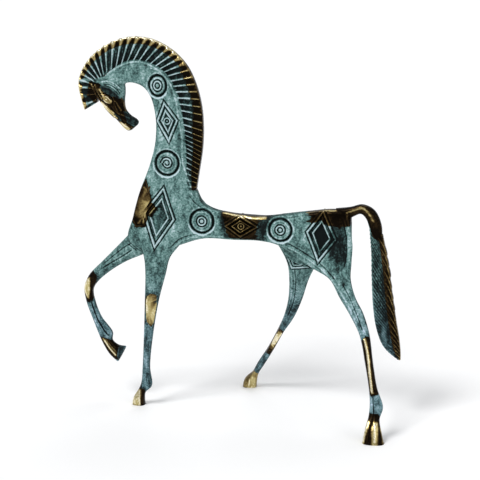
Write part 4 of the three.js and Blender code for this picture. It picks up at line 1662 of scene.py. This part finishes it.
@dataclass(frozen=True)
class Patina:
    """Sea-green patina over dark bronze, rubbed to gold on what stands proud, with painted shade in
    the hollows and painted highlights on the ridges.
    """

    patina: tuple[tuple[float, Colour], ...] = (
        (0.00, (0.0022, 0.0050, 0.0050)),
        (0.20, (0.0150, 0.0330, 0.0320)),
        (0.40, (0.0520, 0.1080, 0.1040)),
        (0.58, (0.1150, 0.2250, 0.2130)),
        (0.78, (0.2250, 0.3650, 0.3500)),
        (1.00, (0.5000, 0.6300, 0.6700)),
    )
    metal: tuple[tuple[float, Colour], ...] = (
        (0.00, (0.0060, 0.0040, 0.0022)),
        (0.22, (0.0300, 0.0180, 0.0070)),
        (0.44, (0.1250, 0.0850, 0.0310)),
        (0.68, (0.3700, 0.2850, 0.1150)),
        (0.88, (0.5700, 0.4900, 0.2300)),
        (1.00, (0.9000, 0.8200, 0.6000)),
    )
    low_leg_tint: Colour = (1.02, 0.95, 1.12)

    def material(self) -> bpy.types.Material:
        """The finish as a Blender material."""
        material = bpy.data.materials.new("sea_green_patina")
        material.use_nodes = True
        graph = Graph(material.node_tree)
        place = graph.add("ShaderNodeTexCoord").outputs["Object"]
        streaked = graph.add("ShaderNodeVectorMath", {"operation": "MULTIPLY"},
                             {0: place, 1: (1.0, 1.0, 0.35)}).outputs[0]
        broad = self._noise(graph, place, 90.0, 3.0) - 0.5
        cloud = self._noise(graph, streaked, 420.0, 5.0) - 0.5
        grain = self._noise(graph, place, 1100.0, 4.0) - 0.5
        speck = self._noise(graph, place, 2600.0, 2.0) - 0.5
        relief_shade_and_highlight = graph.attribute("relief_shade_and_highlight")
        bare, polish, tone = (graph.attribute(name) for name in ("bare", "polish", "tone"))

        mottle = broad * 0.55 + cloud * 1.10 + grain * 1.05 + speck * 0.50
        pits = self._noise(graph, place, 1500.0, 1.0).step(0.66, 0.74)
        # The relief attribute adds painted highlights on ridges and painted shade in hollows to the
        # patina.
        shade = 0.52 + tone * 0.5 + relief_shade_and_highlight * 0.42 + mottle - pits * 0.22
        green = self._ramp(graph, shade, self.patina)
        up = graph.value(graph.add("ShaderNodeSeparateXYZ", None, {0: place}), 2)
        tint = graph.blend(up.step(0.080, 0.035), (1.0, 1.0, 1.0, 1.0), (*self.low_leg_tint, 1.0))
        green = graph.blend(1.0, green, tint, "MULTIPLY")
        # The relief attribute also lays painted highlights and painted shade on the bare metal.
        shine = polish + relief_shade_and_highlight * 0.50 + cloud * 0.40 + grain * 0.50
        metal = self._ramp(graph, shine, self.metal)
        worn = (bare + cloud * 0.45 + grain * 0.35).step(0.40, 0.60)
        colour = graph.blend(worn, green, metal)
        roughness = 0.60 - 0.28 * worn - relief_shade_and_highlight * 0.10 + grain * 0.25
        height = cloud * 0.55 + grain * 0.35 + speck * 0.10
        bumped = graph.add("ShaderNodeBump", None, {
            "Strength": 0.45, "Distance": 0.0004, "Height": height,
        })
        shader = graph.add("ShaderNodeBsdfPrincipled", None, {
            "Base Color": colour, "Metallic": worn * 0.92, "Roughness": roughness,
            "Specular IOR Level": 0.10, "Normal": bumped.outputs[0],
        })
        graph.add("ShaderNodeOutputMaterial", None, {"Surface": shader.outputs[0]})
        return material

    @staticmethod
    def _ramp(graph: Graph, share: Value, stops: tuple) -> bpy.types.NodeSocket:
        """A colour that follows a value through stops."""
        return graph.add("ShaderNodeValToRGB", {"stops": stops}, {"Fac": share}).outputs["Color"]

    @staticmethod
    def _noise(graph: Graph, place: object, scale: float, detail: float) -> Value:
        """Cloudy noise of a given fineness, in repeats for each metre."""
        node = graph.add("ShaderNodeTexNoise", None,
                         {"Vector": place, "Scale": scale, "Detail": detail})
        return graph.value(node, "Fac")


# The casting


@dataclass
class Casting:
    """The horse as one skin."""

    soft_voxel: float = 0.42
    fine_voxel: float = 0.25
    most_triangles: int = 190_000

    def build(self) -> bpy.types.Object:
        """Makes, carves and dresses the horse.

        Returns:
            The finished object, in metres, in the frame.
        """
        crest, tail = Crest(), Tail()
        plain = self._fused([*Trunk().forms(), *Legs().forms()], self.soft_voxel)
        log.info("plain forms fused: %d points", len(plain.points))
        plain.smooth(14)
        plain.write()
        ribbed = [form_of(plain.mesh), *crest.forms(), *tail.forms()]
        whole = self._fused(ribbed, self.fine_voxel)
        log.info("whole skin fused: %d points", len(whole.points))
        whole.smooth(3)
        self._carve(whole)
        self._flatten_soles(whole)
        whole.write()
        coat, relief_shade_and_highlight = self._paint(whole, crest, tail)
        log.info("carved and painted")
        mesh = self._lightened(whole, coat)
        self._store(mesh, whole.points, coat, relief_shade_and_highlight)
        return self._placed(mesh)

    @staticmethod
    def _fused(forms: Sequence[Form], voxel: float) -> Skin:
        """Overlapping shells as one skin, without the bubbles that fusing leaves inside."""
        size = voxel
        mesh = through_modifier(
            mesh_of(joined(forms), "fused"), "REMESH", mode="VOXEL", voxel_size=size,
        )
        return Skin(largest_shell(mesh))

    @staticmethod
    def _carve(whole: Skin) -> None:
        """Raises, cuts and grinds the ornament along the skin's own directions."""
        normals = whole.normals()
        height = np.zeros(len(whole.points))
        for carving in Ornament().carvings():
            near, share = Casting._taken(carving, whole.points, normals)
            height[near] += carving.height(whole.points[near][:, ::2]) * share
        whole.points += normals * height[:, None]
        for facet in Ornament.facets():
            facet.grind(whole, normals)

    @staticmethod
    def _taken(carving: Carved, points: Array, normals: Array) -> tuple[Array, Array]:
        """Which points a carving may change, and how much each takes."""
        side = carving.side.value if carving.side else None
        facing = normals[:, 1] * side if side else np.abs(normals[:, 1])
        depth = points[:, 1] * (side or 1.0)
        low, high = carving.span
        share = smoothstep(0.2, 0.5, facing) * (depth > low) * (depth < high)
        near = np.flatnonzero(share > 0)
        return near, share[near]

    @staticmethod
    def _flatten_soles(whole: Skin) -> None:
        """Cuts the hooves flat at the ground."""
        whole.points[:, 2] = np.maximum(whole.points[:, 2], 0.0)

    @staticmethod
    def _paint(whole: Skin, crest: Crest, tail: Tail) -> tuple[Coat, Array]:
        """Works out the finish of every point, painted shade and painted highlights included.

        Args:
            whole: The carved skin.
            crest: The crest, which paints itself.
            tail: The tail, which paints itself.

        Returns:
            The coat, and how proud or hollow each point stands, from -1 to 1, which the finish
            turns into painted highlights on ridges and painted shade in hollows.
        """
        # Painted light from the skin's shape: points that stand proud get a painted highlight,
        # hollows get painted shade, and the wide hollow darkens like ambient occlusion.
        fine, wide = whole.hollow(6), whole.hollow(36)
        proud = np.clip(-fine / 0.08, 0, 1) * 0.75
        sunk = np.clip(fine / 0.08, 0, 1) * 0.7 + np.clip((wide - 0.05) / 0.35, 0, 1) * 0.6
        relief_shade_and_highlight = proud - sunk
        size = len(whole.points)
        coat = Coat(whole.points, whole.normals(), *(np.zeros(size) for _ in range(3)))
        # Painted shade: faces that turn away from the sides, such as the top and edges of the
        # planks, are darkened.
        edge_face_shade = smoothstep(0.55, 0.25, np.abs(coat.normals[:, 1]))
        coat.lay(edge_face_shade, Look.DARK, 0.8)
        crest.paint(coat)
        tail.paint(coat)
        for patch in WearAndHighlights().patches():
            patch.lay(coat)
        for carving in Ornament().carvings():
            if not isinstance(carving, Stroke):
                carving.paint(coat, *Casting._taken(carving, coat.points, coat.normals))
        return coat, relief_shade_and_highlight

    def _lightened(self, whole: Skin, coat: Coat) -> bpy.types.Mesh:
        """The mesh brought under its limit of triangles, finest where the coat changes."""
        mesh = whole.mesh
        mesh.calc_loop_triangles()
        count = len(mesh.loop_triangles)
        if count <= self.most_triangles:
            return mesh.copy()
        change = sum(np.abs(v - whole.average(v)) for v in (coat.bare, coat.polish, coat.tone))
        keep = np.clip(change * 8.0, 0.0, 1.0)
        for _ in range(2):
            keep = np.maximum(keep, whole.average(keep))
        working = linked("working", mesh.copy())
        group = working.vertex_groups.new(name="free")
        level = np.rint(keep * 8).astype(int)
        for step in range(9):
            group.add(np.flatnonzero(level == step).tolist(), 1.0 - 0.11 * step, "REPLACE")
        modifier = working.modifiers.new("lighten", "DECIMATE")
        modifier.ratio = self.most_triangles / count
        modifier.use_collapse_triangulate = True
        modifier.vertex_group = "free"
        modifier.vertex_group_factor = 0.004
        result = evaluated(working)
        bpy.data.objects.remove(working)
        return result

    @staticmethod
    def _store(mesh: bpy.types.Mesh, points: Array, coat: Coat, relief_shade_and_highlight: Array) -> None:
        """Stores the finish on the mesh, each point taking it from the nearest carved point."""
        tree = KDTree(len(points))
        for k, point in enumerate(points.tolist()):
            tree.insert(point, k)
        tree.balance()
        picked = np.array([tree.find(vertex.co)[1] for vertex in mesh.vertices])
        painted = {"relief_shade_and_highlight": relief_shade_and_highlight, "bare": coat.bare, "polish": coat.polish, "tone": coat.tone}
        for name, values in painted.items():
            attribute = mesh.attributes.new(name, "FLOAT", "POINT")
            attribute.data.foreach_set("value", values[picked].astype(np.float32))

    @staticmethod
    def _placed(mesh: bpy.types.Mesh) -> bpy.types.Object:
        """The mesh as the finished piece, scaled to metres and centred in the frame."""
        surface = Skin(mesh)
        surface.points = (surface.points + FOOTPRINT_SHIFT) * METRES
        surface.write()
        mesh.name = "horse_casting"
        mesh.shade_smooth()
        mesh.materials.clear()
        mesh.materials.append(Patina().material())
        obj = linked("horse_casting", mesh)
        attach(obj, "root")
        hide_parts("horse")
        return obj


# The studio


@dataclass
class Studio:
    """Floor, lights and camera."""

    azimuth: float = 10.0
    elevation: float = 13.0
    distance: float = 0.8
    aim: tuple[float, float, float] = (0.000768, 0.000285, 0.0888)
    lens: float = 120.0
    floor_size: float = 40.0
    room_light: float = 0.50

    def build(self) -> None:
        """Sets the scene."""
        bpy.context.scene.view_settings.view_transform = "Standard"
        self._world()
        self._floor()
        self._light("key", (-0.45, -0.55, 0.95), 22.0, 1.75)
        self._light("fill", (0.85, -0.60, 0.60), 40.0, 0.45)
        self._light("rim", (0.10, 0.55, 0.80), 30.0, 0.50)
        self._camera()

    def _camera(self) -> None:
        """The camera at the photograph's angle."""
        data = bpy.data.cameras.new("camera")
        data.lens = self.lens
        camera = linked("camera", data)
        a, e = math.radians(self.azimuth), math.radians(self.elevation)
        back = Vector((math.sin(a) * math.cos(e), -math.cos(a) * math.cos(e), math.sin(e)))
        camera.location = Vector(self.aim) + back * self.distance
        camera.rotation_euler = (-back).to_track_quat("-Z", "Y").to_euler()
        bpy.context.scene.camera = camera

    @staticmethod
    def _light(name: str, way: tuple[float, float, float], spread: float, strength: float) -> None:
        """A broad soft light from far off.

        Args:
            name: What the light is called.
            way: The direction it comes from.
            spread: How wide it looks, in degrees.
            strength: Its power on each square metre, in watts.
        """
        data = bpy.data.lights.new(name, "SUN")
        data.angle, data.energy = math.radians(spread), strength
        lamp = linked(name, data)
        lamp.location = way
        lamp.rotation_euler = (-Vector(way)).to_track_quat("-Z", "Y").to_euler()

    def _world(self) -> None:
        """Even light from all round."""
        world = bpy.data.worlds.new("room")
        world.use_nodes = True
        graph = Graph(world.node_tree)
        light = graph.add("ShaderNodeBackground", None,
                          {"Color": (0.97, 0.98, 1.0, 1.0), "Strength": self.room_light})
        graph.add("ShaderNodeOutputWorld", None, {"Surface": light.outputs[0]})
        bpy.context.scene.world = world

    def _floor(self) -> None:
        """A plain pale floor."""
        half = self.floor_size / 2
        corners = [(-half, -half, 0), (half, -half, 0), (half, half, 0), (-half, half, 0)]
        mesh = bpy.data.meshes.new("floor")
        mesh.from_pydata(corners, [], [(0, 1, 2, 3)])
        material = bpy.data.materials.new("pale_floor")
        material.use_nodes = True
        graph = Graph(material.node_tree)
        shader = graph.add("ShaderNodeBsdfPrincipled", None,
                           {"Base Color": (0.93, 0.93, 0.93, 1.0), "Roughness": 0.9})
        graph.add("ShaderNodeOutputMaterial", None, {"Surface": shader.outputs[0]})
        mesh.materials.append(material)
        floor = linked("floor", mesh)
        floor.location.z = -0.0001


def main() -> None:
    """Builds the horse and the studio."""
    logging.basicConfig(level=logging.INFO, format="%(name)s: %(message)s")
    horse = Casting().build()
    log.info("horse: %d points", len(horse.data.vertices))
    Studio().build()


if __name__ == "__main__":
    main()
